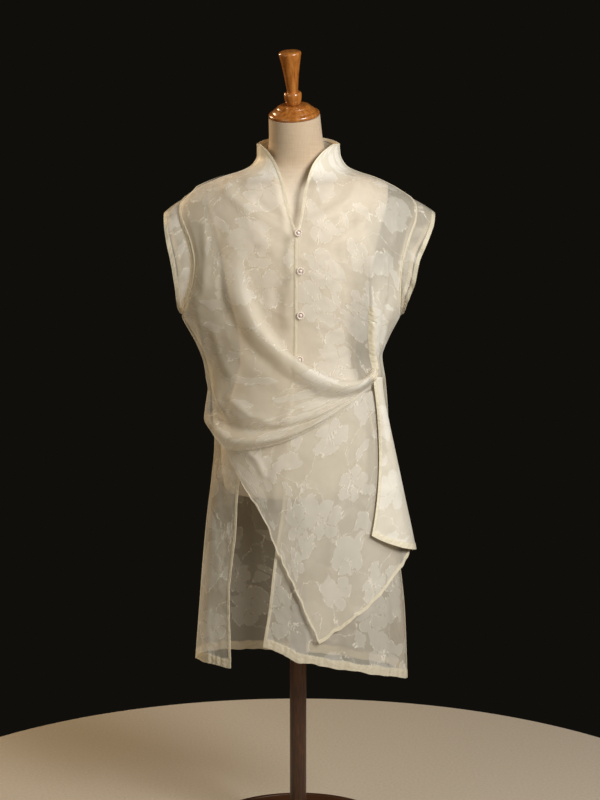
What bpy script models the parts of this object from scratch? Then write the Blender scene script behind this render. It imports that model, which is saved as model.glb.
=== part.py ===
"""Kebaya blouse on a limbless dress form.

Metres, +Z up, wearer facing -Y, wearer's left towards +X.  The origin is on the
floor, under the middle of the stand.  Every cloth piece is a wall lofted over
one set of body rings, so that its seams meet its neighbours' seams.
"""
import math

import bpy
from mathutils import Matrix, Vector

# ---------------------------------------------------------------- driving sizes
WALL = 0.0013            # cloth with its lofted jacquard, modelled thickness
BAND_WALL = 0.0020       # doubled cloth of hems, collar edge and placket
SEAM = 0.0003            # gap left between two sewn pieces
LAP_LIFT = 0.0028        # how far the right front stands over the left underlap
HEM_BAND = 0.018
EDGE_BAND = 0.012
PLACKET_BAND = 0.022
FLAP_BAND = 0.008
SLEEVE_BAND = 0.009

UNDERARM = 1.112
SHOULDER_POINT = 1.354
ARMHOLE_CUT = 36.0       # degrees the armhole reaches in from the side seam
SEAM_ANGLE = 0.05        # degrees from a side or shoulder seam to its edge

BUTTON_RADIUS = 0.0075
BUTTON_HEIGHT = 0.0055

STAND_RADIUS = 0.200
STAND_THICK = 0.025
POLE_RADIUS = 0.0175
TORSO_BOTTOM = 0.745
NECK_TOP = 1.519
NECK_LEAN = 15.0         # degrees the cap faces forward
NECK_SIDE = -4.0         # and leans to the wearer's right

# ---------------------------------------------------------------- tables
# Blouse rings: reach of the cloth to each side, to the front and to the back.
# Between the underarm and the shoulder point the sides are cut by the armholes.
BODY = {
    "columns": ("height", "right", "left", "front", "back"),
    "rows": (
        (0.330, 0.219, 0.229, 0.143, 0.138),
        (0.400, 0.214, 0.227, 0.141, 0.136),
        (0.500, 0.206, 0.222, 0.139, 0.133),
        (0.600, 0.198, 0.211, 0.137, 0.131),
        (0.700, 0.188, 0.200, 0.135, 0.130),
        (0.780, 0.178, 0.192, 0.134, 0.130),
        (0.850, 0.172, 0.187, 0.132, 0.129),
        (0.920, 0.175, 0.184, 0.131, 0.125),
        (0.980, 0.180, 0.179, 0.130, 0.119),
        (1.030, 0.190, 0.172, 0.131, 0.115),
        (1.065, 0.206, 0.184, 0.132, 0.113),
        (1.112, 0.233, 0.208, 0.134, 0.113),
        (1.160, 0.250, 0.232, 0.136, 0.114),
        (1.210, 0.262, 0.254, 0.137, 0.115),
        (1.260, 0.266, 0.266, 0.133, 0.115),
        (1.300, 0.264, 0.264, 0.122, 0.113),
        (1.340, 0.246, 0.246, 0.104, 0.107),
        (1.372, 0.206, 0.204, 0.092, 0.099),
        (1.385, 0.180, 0.180, 0.087, 0.094),
        (1.397, 0.151, 0.152, 0.083, 0.089),
        (1.405, 0.124, 0.126, 0.080, 0.085),
        (1.413, 0.104, 0.106, 0.078, 0.081),
        (1.423, 0.091, 0.094, 0.076, 0.077),
        (1.440, 0.082, 0.085, 0.071, 0.071),
        (1.460, 0.082, 0.083, 0.067, 0.068),
        (1.480, 0.085, 0.086, 0.067, 0.070),
    ),
}

# Centre edge of each front, as a place across the body at each height.
RIGHT_EDGE = {
    "columns": ("height", "across"),
    "rows": (
        (0.380, -0.136), (0.540, -0.140), (0.670, -0.127), (0.775, -0.120),
        (0.830, -0.104), (0.900, -0.062), (0.960, -0.022), (1.010, -0.003),
        (1.100, -0.001), (1.270, -0.001), (1.293, -0.004), (1.315, -0.011),
        (1.353, -0.021), (1.387, -0.029), (1.422, -0.042), (1.449, -0.060),
        (1.464, -0.077),
    ),
}
LEFT_EDGE = {
    "columns": ("height", "across"),
    "rows": (
        (0.400, -0.076), (0.447, -0.071), (0.527, -0.059), (0.636, -0.047),
        (0.753, -0.030), (0.865, -0.022), (1.000, -0.013), (1.260, -0.013),
        (1.297, -0.001), (1.336, 0.007), (1.370, 0.012), (1.396, 0.019),
        (1.421, 0.028), (1.442, 0.043), (1.459, 0.062), (1.468, 0.077),
    ),
}

# Hem height round the blouse, by the angle from centre front.
HEM = {
    "columns": ("angle", "height"),
    "rows": (
        (-180, 0.364), (-135, 0.380), (-90, 0.390), (-55, 0.400), (-40, 0.399),
        (-22, 0.449), (-12, 0.440), (0, 0.420), (27, 0.398), (56, 0.372),
        (90, 0.350), (135, 0.353), (180, 0.364),
    ),
}

# Soft folds of the fronts and back: a ridge from a top place to a low place.
FOLDS = {
    "columns": ("top_angle", "top_height", "low_angle", "low_height", "width", "rise"),
    "rows": (
        (-50.0, 1.385, -11.0, 1.312, 5.0, 0.0060),
        (-26.0, 1.335, -11.0, 1.255, 4.5, 0.0040),
        (42.0, 1.392, 10.0, 1.318, 5.5, 0.0065),
        (35.0, 1.330, 11.0, 1.250, 5.0, 0.0040),
        (33.0, 1.250, 60.0, 1.010, 5.0, 0.0060),
        (58.0, 1.130, 66.0, 1.000, 6.0, 0.0050),
        (-66.0, 0.760, -62.0, 0.400, 8.0, 0.0070),
        (70.0, 0.640, 72.0, 0.360, 8.0, 0.0060),
        (38.0, 0.560, 34.0, 0.390, 9.0, 0.0050),
        (-128.0, 1.240, -112.0, 0.960, 9.0, 0.0050),
        (128.0, 1.240, 112.0, 0.960, 9.0, 0.0050),
        (-150.0, 0.860, -158.0, 0.370, 9.0, 0.0080),
        (-116.0, 0.820, -120.0, 0.380, 9.0, 0.0070),
        (118.0, 0.820, 122.0, 0.360, 9.0, 0.0070),
        (152.0, 0.880, 160.0, 0.360, 9.0, 0.0080),
        (178.0, 0.840, 180.0, 0.360, 8.0, 0.0050),
    ),
}

# Overlay from the right shoulder to the left waist: the places of its upper
# edge and of its armhole, side-seam and lower edge, at stations along it.
COWL = {
    "columns": ("along", "upper_x", "upper_z", "lower_x", "lower_z", "billow"),
    "rows": (
        (0.00, -0.142, 1.4003, -0.204, 1.3725, 0.0),
        (0.07, -0.138, 1.345, -0.240, 1.325, 0.2),
        (0.15, -0.133, 1.285, -0.240, 1.265, 0.3),
        (0.23, -0.123, 1.226, -0.240, 1.193, 0.4),
        (0.31, -0.107, 1.164, -0.233, 1.107, 0.5),
        (0.38, -0.086, 1.117, -0.233, 1.035, 0.7),
        (0.45, -0.059, 1.078, -0.233, 0.965, 0.9),
        (0.53, -0.026, 1.046, -0.176, 0.890, 1.0),
        (0.61, 0.010, 1.019, -0.128, 0.852, 1.0),
        (0.70, 0.048, 0.998, -0.050, 0.868, 1.0),
        (0.79, 0.084, 0.985, 0.025, 0.901, 1.0),
        (0.88, 0.114, 0.984, 0.080, 0.933, 0.8),
        (0.95, 0.134, 0.993, 0.118, 0.957, 0.5),
        (1.00, 0.144, 1.003, 0.143, 0.974, 0.3),
    ),
}
# Folds that run the length of the overlay, by their place across it.
COWL_FOLDS = {
    "columns": ("across", "start", "width", "rise"),
    "rows": (
        (0.03, 0.10, 0.10, 0.0115),
        (0.30, 0.52, 0.10, 0.0045),
        (0.60, 0.40, 0.10, 0.0080),
        (0.93, 0.42, 0.11, 0.0160),
    ),
}
COWL_SEAT = 0.0026       # overlay over the front's outer face, where sewn down
COWL_TURN = 0.0017       # more where it turns over the shoulder and under the arm
COWL_LIFT = 0.0050       # slack of the overlay away from its seams
COWL_TUCK = 0.0066       # height of its turned-under edge over the flap

# Flap ribs fan from under the overlay to the hem.
FLAP = {
    "columns": ("top_x", "top_z", "hem_x", "hem_z", "hem_lift"),
    "rows": (
        (-0.163, 0.870, -0.112, 0.779, 0.0032),
        (-0.135, 0.870, -0.094, 0.751, 0.0030),
        (-0.105, 0.872, -0.074, 0.724, 0.0040),
        (-0.075, 0.880, -0.059, 0.687, 0.0050),
        (-0.045, 0.890, -0.037, 0.635, 0.0060),
        (-0.015, 0.902, -0.012, 0.583, 0.0070),
        (0.015, 0.914, 0.014, 0.524, 0.0080),
        (0.040, 0.926, 0.044, 0.460, 0.0090),
        (0.060, 0.935, 0.078, 0.481, 0.0080),
        (0.078, 0.943, 0.110, 0.501, 0.0100),
        (0.094, 0.950, 0.141, 0.526, 0.0090),
        (0.109, 0.956, 0.168, 0.547, 0.0120),
        (0.123, 0.961, 0.190, 0.569, 0.0150),
        (0.138, 0.965, 0.207, 0.589, 0.0180),
        (0.150, 0.967, 0.222, 0.607, 0.0220),
    ),
}
FLAP_SEAT = 0.0030

# The cascade below the knot: lines from the knot to the hem.
TAIL = {
    "columns": ("x_0", "z_0", "lift_0", "x_1", "z_1", "lift_1", "x_2", "z_2", "lift_2"),
    "rows": (
        (0.1570, 0.9710, 0.0085, 0.1665, 0.830, 0.0150, 0.152, 0.674, 0.0200),
        (0.1625, 0.9715, 0.0100, 0.1780, 0.826, 0.0215, 0.176, 0.660, 0.0230),
        (0.1685, 0.9715, 0.0105, 0.1900, 0.820, 0.0260, 0.201, 0.648, 0.0300),
        (0.1735, 0.9710, 0.0110, 0.2005, 0.812, 0.0290, 0.226, 0.636, 0.0380),
        (0.1775, 0.9700, 0.0105, 0.2075, 0.804, 0.0275, 0.245, 0.624, 0.0380),
        (0.1770, 0.9690, 0.0085, 0.2060, 0.800, 0.0220, 0.2445, 0.619, 0.0350),
        (0.1600, 0.9670, 0.0068, 0.1840, 0.803, 0.0125, 0.2245, 0.608, 0.0280),
    ),
}

# Cap sleeves: reach of the hem to the side at each height.
SLEEVE = {
    "columns": ("height", "right", "left"),
    "rows": (
        (1.110, 0.2400, 0.2160), (1.140, 0.2460, 0.2210), (1.180, 0.2490, 0.2350),
        (1.228, 0.2560, 0.2440), (1.264, 0.2640, 0.2590), (1.301, 0.2705, 0.2740),
        (1.328, 0.2735, 0.2800),
    ),
}
SLEEVE_TOP = 1.325
SLEEVE_LOW = 1.1175
SLEEVE_DEPTH = 0.082     # half the sleeve opening, front to back
SLEEVE_CROWN = 0.002     # rounding of the sleeve on top, and to the front and back
SLEEVE_SWELL = 0.004

# Torso rings, with the neck's forward lean.
TORSO = {
    "columns": ("height", "half", "front", "back", "shift_x", "shift_y", "lean"),
    "rows": (
        (0.745, 0.135, 0.088, 0.096, 0.0, 0.0, 0.0),
        (0.748, 0.146, 0.098, 0.106, 0.0, 0.0, 0.0),
        (0.757, 0.153, 0.104, 0.113, 0.0, 0.0, 0.0),
        (0.800, 0.160, 0.109, 0.121, 0.0, 0.0, 0.0),
        (0.850, 0.161, 0.108, 0.121, 0.0, 0.0, 0.0),
        (0.900, 0.153, 0.103, 0.113, 0.0, 0.0, 0.0),
        (0.960, 0.135, 0.096, 0.098, 0.0, 0.0, 0.0),
        (1.030, 0.119, 0.092, 0.087, 0.0, 0.0, 0.0),
        (1.090, 0.126, 0.098, 0.089, 0.0, 0.0, 0.0),
        (1.150, 0.141, 0.112, 0.096, 0.0, 0.0, 0.0),
        (1.210, 0.153, 0.121, 0.102, 0.0, 0.0, 0.0),
        (1.260, 0.162, 0.114, 0.103, 0.0, 0.0, 0.0),
        (1.310, 0.174, 0.096, 0.099, 0.0, 0.0, 0.0),
        (1.345, 0.183, 0.080, 0.092, 0.0, 0.0, 0.0),
        (1.368, 0.184, 0.070, 0.085, 0.0, 0.0, 0.0),
        (1.381, 0.1835, 0.066, 0.081, 0.0, 0.0, 0.0),
        (1.389, 0.1700, 0.064, 0.078, 0.0, 0.0, 0.0),
        (1.397, 0.1498, 0.062, 0.074, 0.0, 0.0, 0.0),
        (1.405, 0.1228, 0.060, 0.070, 0.0, 0.0, 0.0),
        (1.413, 0.0990, 0.058, 0.065, 0.0, 0.0, 0.5),
        (1.425, 0.0710, 0.055, 0.058, -0.001, -0.002, 2.0),
        (1.445, 0.0595, 0.053, 0.053, -0.003, -0.005, 6.0),
        (1.480, 0.0545, 0.0525, 0.0525, -0.005, -0.011, 11.0),
        (1.519, 0.0525, 0.0525, 0.0525, -0.0075, -0.018, 15.0),
    ),
}

CLOTH = ("cream_organza", (0.86, 0.80, 0.66), 0.55, 0.0)
FORM_CLOTH = ("linen_cover", (0.72, 0.63, 0.50), 0.85, 0.0)
TURNED_WOOD = ("varnished_beech", (0.52, 0.24, 0.08), 0.35, 0.0)
BUTTON_METAL = ("rose_silver", (0.72, 0.60, 0.55), 0.30, 0.9)
STAND_WOOD = ("dark_wood", (0.12, 0.07, 0.04), 0.45, 0.0)


# ---------------------------------------------------------------- curves and rings
def smooth_value(places, values, where):
    """Monotone cubic through the rows of a table."""
    if where <= places[0]:
        return values[0]
    if where >= places[-1]:
        return values[-1]
    gaps = [b - a for a, b in zip(places, places[1:])]
    rises = [(b - a) / gap for a, b, gap in zip(values, values[1:], gaps)]
    slopes = [rises[0]]
    for before, after in zip(rises, rises[1:]):
        same_way = before * after > 0.0
        slopes.append(2.0 * before * after / (before + after) if same_way else 0.0)
    slopes.append(rises[-1])
    k = max(i for i, place in enumerate(places[:-1]) if where >= place)
    t = (where - places[k]) / gaps[k]
    start = (1 + 2 * t) * (1 - t) ** 2 * values[k]
    leave = t * (1 - t) ** 2 * gaps[k] * slopes[k]
    end = t * t * (3 - 2 * t) * values[k + 1]
    reach = t * t * (t - 1) * gaps[k] * slopes[k + 1]
    return start + leave + end + reach


def value(table, name, where):
    column = table["columns"].index(name)
    places = [row[0] for row in table["rows"]]
    values = [row[column] for row in table["rows"]]
    return smooth_value(places, values, where)


def rib_value(table, name, where):
    """The same, for a table whose rows are counted 0, 1, 2 ... across the cloth."""
    column = table["columns"].index(name)
    values = [row[column] for row in table["rows"]]
    return smooth_value(list(range(len(values))), values, where)


def ease(low, high, where):
    t = min(max((where - low) / (high - low), 0.0), 1.0)
    return t * t * (3.0 - 2.0 * t)


def blend(a, b, t):
    return a + (b - a) * t


def ring_place(angle, height):
    turn = math.radians(angle)
    across = value(BODY, "left" if math.sin(turn) > 0.0 else "right", height)
    deep = value(BODY, "front" if math.cos(turn) > 0.0 else "back", height)
    return Vector((across * math.sin(turn), -deep * math.cos(turn), height))


def fold_rise(angle, height):
    total = 0.0
    for top_angle, top_height, low_angle, low_height, width, rise in FOLDS["rows"]:
        t = (top_height - height) / (top_height - low_height)
        if -0.35 < t < 1.35:
            centre = blend(top_angle, low_angle, t)
            away = (angle - centre + 180.0) % 360.0 - 180.0
            ends = ease(-0.35, 0.15, t) * (1.0 - ease(0.85, 1.35, t))
            total += rise * ends * math.exp(-(away / width) ** 2)
    return total


def body_place(angle, height, lift=0.0):
    """A place on the worn cloth's inner face, moved out by lift."""
    here = ring_place(angle, height)
    round_body = ring_place(angle + 0.4, height) - ring_place(angle - 0.4, height)
    up_body = ring_place(angle, height + 0.0008) - ring_place(angle, height - 0.0008)
    outward = round_body.cross(up_body).normalized()
    return here + outward * (lift + fold_rise(angle, height))


def angle_at(across, height, lift=0.0):
    reach = value(BODY, "left" if across > 0.0 else "right", height) + lift
    return math.degrees(math.asin(max(-1.0, min(1.0, across / reach))))


def armhole_angle(height):
    w = (height - UNDERARM) / (SHOULDER_POINT - UNDERARM)
    if w <= 0.0 or w >= 1.0:
        return 90.0
    return 90.0 - ARMHOLE_CUT * math.sin(math.pi * w) ** 0.55


# ---------------------------------------------------------------- making objects
def clear_scene():
    for thing in list(bpy.data.objects):
        bpy.data.objects.remove(thing, do_unlink=True)


def material(spec):
    name, colour, roughness, metallic = spec
    made = bpy.data.materials.get(name) or bpy.data.materials.new(name)
    made.use_nodes = True
    surface = made.node_tree.nodes["Principled BSDF"]
    surface.inputs["Base Color"].default_value = (*colour, 1.0)
    surface.inputs["Roughness"].default_value = roughness
    surface.inputs["Metallic"].default_value = metallic
    return made


def add_object(name, points, faces, spec):
    mesh = bpy.data.meshes.new(name)
    mesh.from_pydata([tuple(p) for p in points], [], faces)
    mesh.materials.append(material(spec))
    thing = bpy.data.objects.new(name, mesh)
    COLLECTION.objects.link(thing)
    return thing


def cloth_wall(name, rows, doubled=None, side=1.0, spec=CLOTH):
    """A closed wall over a grid of places.  doubled marks the hem and edge bands."""
    wide = len(rows[0])
    points = [place for row in rows for place in row]
    faces = []
    for r in range(len(rows) - 1):
        for c in range(wide - 1):
            low = r * wide + c
            faces.append((low, low + 1, low + wide + 1, low + wide))
    thing = add_object(name, points, faces, spec)
    bands = thing.vertex_groups.new(name="doubled")
    if doubled:
        marked = [r * wide + c for r in range(len(rows)) for c in range(wide) if doubled(r, c)]
        bands.add(marked, 1.0, "REPLACE")
    thicken = thing.modifiers.new("wall", "SOLIDIFY")
    thicken.thickness = BAND_WALL
    thicken.vertex_group = "doubled"
    thicken.thickness_vertex_group = WALL / BAND_WALL
    thicken.offset = side
    thicken.use_even_offset = False
    return thing


def turned(name, profile, steps, spec):
    """A profile of (radius, height) turned round Z."""
    points = [(radius, 0.0, height) for radius, height in profile]
    mesh = bpy.data.meshes.new(name)
    mesh.from_pydata(points, [(i, i + 1) for i in range(len(points) - 1)], [])
    mesh.materials.append(material(spec))
    thing = bpy.data.objects.new(name, mesh)
    COLLECTION.objects.link(thing)
    screw = thing.modifiers.new("turn", "SCREW")
    screw.steps = steps
    screw.render_steps = steps
    screw.use_merge_vertices = True
    screw.merge_threshold = 0.00001
    screw.use_normal_calculate = True
    return thing


# ---------------------------------------------------------------- the blouse
LOWER_LEVEL = 0.84
LOWER_STEPS = 6
LEVELS = (
    0.840, 0.890, 0.935, 0.975, 1.010, 1.040, 1.070, 1.095, 1.112, 1.118, 1.130,
    1.155, 1.190, 1.225, 1.260, 1.290, 1.315, 1.338, 1.354, 1.365, 1.373, 1.381,
    1.389, 1.397, 1.405, 1.413, 1.423, 1.436, 1.450,
)
COLLAR_TOP = 1.464
COLLAR_BACK_RISE = 0.012


def collar_top(angle):
    return COLLAR_TOP + COLLAR_BACK_RISE * ease(90.0, 150.0, abs(angle))


def wrapped(angle):
    return (angle + 180.0) % 360.0 - 180.0


def level_at(row, angle):
    """Height of a grid row, counted up from the hem, at an angle round the body."""
    hem = value(HEM, "height", wrapped(angle))
    if row == 0:
        return hem
    if row <= LOWER_STEPS:
        return blend(hem + HEM_BAND, LOWER_LEVEL, (row - 1) / LOWER_STEPS)
    if row <= LOWER_STEPS + len(LEVELS):
        return LEVELS[row - LOWER_STEPS - 1]
    return collar_top(wrapped(angle))


ROW_COUNT = 2 + LOWER_STEPS + len(LEVELS)
HEM_ROWS = (0, 1)


def panel_rows(start_angle, end_angle, columns, band_at_start, band_at_end, lift=None):
    """Grid of a panel between two edges given as angle at a height."""
    rows = []
    for r in range(ROW_COUNT):
        start = edge_on_row(start_angle, r)
        end = edge_on_row(end_angle, r)
        middle = level_at(r, 0.5 * (start + end))
        round_row = body_place(end, middle) - body_place(start, middle)
        width = max(round_row.length, 0.001)
        shares = column_shares(columns, band_at_start / width, band_at_end / width)
        row = []
        for share in shares:
            angle = blend(start, end, share)
            height = level_at(r, angle)
            extra = lift(angle, height) if lift else 0.0
            row.append(body_place(angle, height, extra))
        rows.append(row)
    return rows


def edge_on_row(edge, row):
    """Settle an edge's angle and the row's height there, which depend on each other."""
    angle = edge(level_at(row, edge(LOWER_LEVEL)))
    for _ in range(6):
        angle = edge(level_at(row, angle))
    return angle


def column_shares(columns, first, last):
    """Shares from 0 to 1 with a narrow band at one or both ends."""
    first = min(first, 0.2)
    last = min(last, 0.2)
    inner = columns - (1 if first else 0) - (1 if last else 0)
    shares = [blend(first, 1.0 - last, i / inner) for i in range(inner + 1)]
    if first:
        shares.insert(0, 0.0)
    if last:
        shares.append(1.0)
    return shares


def right_edge_angle(height):
    return angle_at(value(RIGHT_EDGE, "across", height), height)


def left_edge_angle(height):
    return angle_at(value(LEFT_EDGE, "across", height), height)


def lap_lift(angle, height):
    near = 1.0 - ease(4.0, 20.0, abs(angle))
    return LAP_LIFT * near * ease(0.900, 0.955, height) * (1.0 - ease(1.295, 1.345, height))


def build_front_right():
    columns = 13
    rows = panel_rows(
        lambda height: -(armhole_angle(height) - SEAM_ANGLE),
        right_edge_angle, columns, 0.0, EDGE_BAND, lap_lift,
    )
    cloth_wall("front_right", rows, lambda r, c: r in HEM_ROWS or c >= columns - 1)


def build_front_left():
    columns = 14
    rows = panel_rows(
        left_edge_angle,
        lambda height: armhole_angle(height) - SEAM_ANGLE,
        columns, PLACKET_BAND, 0.0,
    )
    cloth_wall("front_left", rows, lambda r, c: r in HEM_ROWS or c <= 1)


def build_back():
    columns = 19
    rows = panel_rows(
        lambda height: 180.0 - armhole_angle(height) + SEAM_ANGLE,
        lambda height: 180.0 + armhole_angle(height) - SEAM_ANGLE,
        columns, 0.0, 0.0,
    )
    cloth_wall("back", rows, lambda r, c: r in HEM_ROWS or r == ROW_COUNT - 1)


def build_sleeve(name, side, reach_name):
    """Cap sleeve from the armhole to its hem, its given face being the outer one."""
    heights = [level for level in LEVELS if UNDERARM <= level <= SHOULDER_POINT]
    stations = [(height, False) for height in reversed(heights)]
    stations += [(height, True) for height in heights[1:-1]]
    hem_middle = 0.5 * (SLEEVE_LOW + SLEEVE_TOP)
    hem_half = 0.5 * (SLEEVE_TOP - SLEEVE_LOW)
    rings = []
    for height, behind in stations:
        up = 2.0 * (height - UNDERARM) / (SHOULDER_POINT - UNDERARM) - 1.0
        forward = math.sqrt(max(0.0, 1.0 - up * up)) * (-1.0 if behind else 1.0)
        angle = min(90.0, armhole_angle(height) + 2.0 * SEAM_ANGLE)
        seam = body_place(side * (180.0 - angle if behind else angle), height)
        hem_level = hem_middle + hem_half * up
        hem_reach = side * value(SLEEVE, reach_name, hem_level)
        hem = Vector((hem_reach, -SLEEVE_DEPTH * forward, hem_level))
        seam += (hem - seam).normalized() * SEAM
        seam.z += 2.0 * SEAM * max(0.0, -up) ** 4
        band = 1.0 - SLEEVE_BAND / max((hem - seam).length, 2.5 * SLEEVE_BAND)
        ring = []
        for share in (0.0, 0.3, 0.6, band, 1.0):
            place = seam.lerp(hem, share)
            place.z += SLEEVE_CROWN * math.sin(math.pi * share) * max(0.0, up)
            place.y -= SLEEVE_SWELL * math.sin(math.pi * share) * forward
            ring.append(place)
        rings.append(ring)
    tube_wall(name, rings, side)


def tube_wall(name, rings, side):
    """A closed ring of strips, from seam to hem, thickened inwards."""
    count = len(rings)
    wide = len(rings[0])
    points = [place for ring in rings for place in ring]
    faces = []
    for i in range(count):
        after = (i + 1) % count
        for c in range(wide - 1):
            face = (i * wide + c, i * wide + c + 1, after * wide + c + 1, after * wide + c)
            faces.append(face if side < 0.0 else tuple(reversed(face)))
    thing = add_object(name, points, faces, CLOTH)
    bands = thing.vertex_groups.new(name="doubled")
    bands.add([i * wide + c for i in range(count) for c in (wide - 2, wide - 1)], 1.0, "REPLACE")
    thicken = thing.modifiers.new("wall", "SOLIDIFY")
    thicken.thickness = BAND_WALL
    thicken.vertex_group = "doubled"
    thicken.thickness_vertex_group = WALL / BAND_WALL
    thicken.offset = -1.0
    return thing


# ---------------------------------------------------------------- the overlay
COWL_ARM_INSET = 2.6     # degrees the overlay keeps inside the armhole edge
COWL_TOP_INSET = 0.5     # and inside the shoulder seam
COWL_STRIP = 0.35        # degrees between the last columns where the edge is sewn
COWL_DROP = -0.003       # the rolled edge dips by this
COWL_RETURN = 0.011      # and turns back up behind itself by this
COWL_STEPS = 36
COWL_COLUMNS = 15
COWL_CLOSER = 1.3         # stations lie closer together at the shoulder


def cowl_lift(along, across):
    slack = ease(0.0, 0.30, along)
    sewn_side = (1.0 - ease(0.44, 0.54, along)) * ease(0.80, 1.0, across)
    billow = value(COWL, "billow", along)
    lift = COWL_SEAT + COWL_LIFT * slack * (1.0 - sewn_side)
    lift += COWL_TURN * (1.0 - ease(0.04, 0.14, along))
    lift += COWL_TURN * ease(0.22, 0.28, along) * (1.0 - ease(0.36, 0.44, along)) * sewn_side
    for place, start, width, rise in COWL_FOLDS["rows"]:
        grow = ease(start - 0.12, start + 0.12, along)
        lift += rise * grow * billow * (1.0 - sewn_side) * math.exp(-((across - place) / width) ** 2)
    return lift


def build_cowl():
    stations = [(i / COWL_STEPS) ** COWL_CLOSER for i in range(COWL_STEPS + 1)]
    shares = [c / COWL_COLUMNS for c in range(COWL_COLUMNS + 1)]
    rows = [[cowl_place(along, 1.0, under) for along in stations] for under in (2, 1)]
    rows += [[cowl_place(along, across, 0) for along in stations] for across in reversed(shares)]
    upper_edge = len(rows) - 2
    cloth_wall("drape_cowl", rows, lambda r, c: r >= upper_edge)


def cowl_place(along, across, under):
    """A place on the overlay.  under counts the two columns of its turned-in edge."""
    upper_z = value(COWL, "upper_z", along)
    lower_z = value(COWL, "lower_z", along)
    upper = angle_at(value(COWL, "upper_x", along), upper_z)
    lower = angle_at(value(COWL, "lower_x", along), lower_z)
    upper = max(upper, -(armhole_angle(upper_z) - COWL_TOP_INSET))
    lower = max(lower, -(armhole_angle(lower_z) - COWL_ARM_INSET))
    roll = ease(0.47, 0.57, along) * (1.0 - 0.6 * ease(0.85, 1.0, along))
    angle = blend(upper, lower, across) - COWL_STRIP * under * (1.0 - roll)
    height = blend(upper_z, lower_z, across) + (0.0, COWL_DROP, COWL_RETURN)[under] * roll
    lift = cowl_lift(along, across)
    rolled_lift = (lift, blend(COWL_TUCK, lift, 0.55), COWL_TUCK)[under]
    return body_place(angle, height, blend(lift, rolled_lift, roll))


def build_flap():
    ribs = len(FLAP["rows"])
    columns = 2 * (ribs - 1)
    steps = 11
    rows = []
    for s in range(steps + 1):
        row = []
        for c in range(columns + 1):
            rib = c / 2.0
            top = Vector((rib_value(FLAP, "top_x", rib), rib_value(FLAP, "top_z", rib)))
            hem = Vector((rib_value(FLAP, "hem_x", rib), rib_value(FLAP, "hem_z", rib)))
            band = FLAP_BAND / (hem - top).length
            t = 1.0 if s == 0 else blend(1.0 - band, 0.0, (s - 1) / (steps - 1))
            place = top.lerp(hem, t)
            lift = FLAP_SEAT + (rib_value(FLAP, "hem_lift", rib) - FLAP_SEAT) * t ** 1.5
            row.append(body_place(angle_at(place.x, place.y, lift), place.y, lift))
        rows.append(row)
    cloth_wall("drape_flap", rows, lambda r, c: r <= 1)


def tail_place(line, t):
    """A place on the cascade: t runs 0 to 1 from the knot to the hem."""
    shares = ((1.0 - t) * (1.0 - 2.0 * t), 4.0 * t * (1.0 - t), t * (2.0 * t - 1.0))
    x, z, lift = (
        sum(share * rib_value(TAIL, f"{name}_{k}", line) for k, share in enumerate(shares))
        for name in ("x", "z", "lift")
    )
    return body_place(angle_at(x, z, lift), z, lift)


def build_tail():
    lines = len(TAIL["rows"])
    columns = 3 * (lines - 1)
    steps = 12
    rows = []
    for s in range(steps + 1):
        t = 1.0 if s == 0 else blend(1.0 - FLAP_BAND / 0.34, 0.0, (s - 1) / (steps - 1))
        rows.append([tail_place(c / 3.0, t) for c in range(columns + 1)])
    cloth_wall("drape_tail", rows, lambda r, c: r <= 1)


KNOT_X = 0.1597
KNOT_HEIGHT = 0.9870
KNOT_LIFT = 0.0105
KNOT_HALF = (0.0100, 0.0070, 0.0155)


def build_knot():
    angle = angle_at(KNOT_X, KNOT_HEIGHT, KNOT_LIFT)
    place = body_place(angle, KNOT_HEIGHT, KNOT_LIFT)
    bpy.ops.mesh.primitive_uv_sphere_add(segments=16, ring_count=10, radius=1.0)
    knot = bpy.context.active_object
    knot.name = "knot"
    knot.data.name = "knot"
    knot.data.transform(Matrix.Diagonal((*KNOT_HALF, 1.0)))
    knot.location = place
    knot.rotation_euler = (0.0, 0.0, math.radians(angle))
    knot.data.materials.append(material(CLOTH))
    into_collection(knot)


BUTTONS = {
    "columns": ("name", "across", "height", "sink"),
    "rows": (
        ("button_1", 0.0005, 1.288, 0.0), ("button_2", 0.0050, 1.215, 0.0007),
        ("button_3", 0.0050, 1.127, 0.0006), ("button_4", 0.0030, 1.038, 0.0),
    ),
}


def build_buttons():
    r = BUTTON_RADIUS
    h = BUTTON_HEIGHT
    profile = (
        (0.0, 0.0), (0.70 * r, 0.0), (r, 0.30 * h), (0.95 * r, 0.58 * h), (0.66 * r, 0.58 * h),
        (0.42 * r, 0.88 * h), (0.0, h),
    )
    for name, across, height, sink in BUTTONS["rows"]:
        button = turned(name, profile, 14, BUTTON_METAL)
        angle = angle_at(across, height)
        stand_off = LAP_LIFT + BAND_WALL + SEAM - sink
        here = body_place(angle, height, stand_off)
        facing = body_place(angle, height, stand_off + 0.01) - here
        button.location = here
        button.rotation_euler = facing.to_track_quat("Z", "Y").to_euler()


# ---------------------------------------------------------------- the form
def into_collection(thing):
    for holder in list(thing.users_collection):
        holder.objects.unlink(thing)
    COLLECTION.objects.link(thing)


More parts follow.
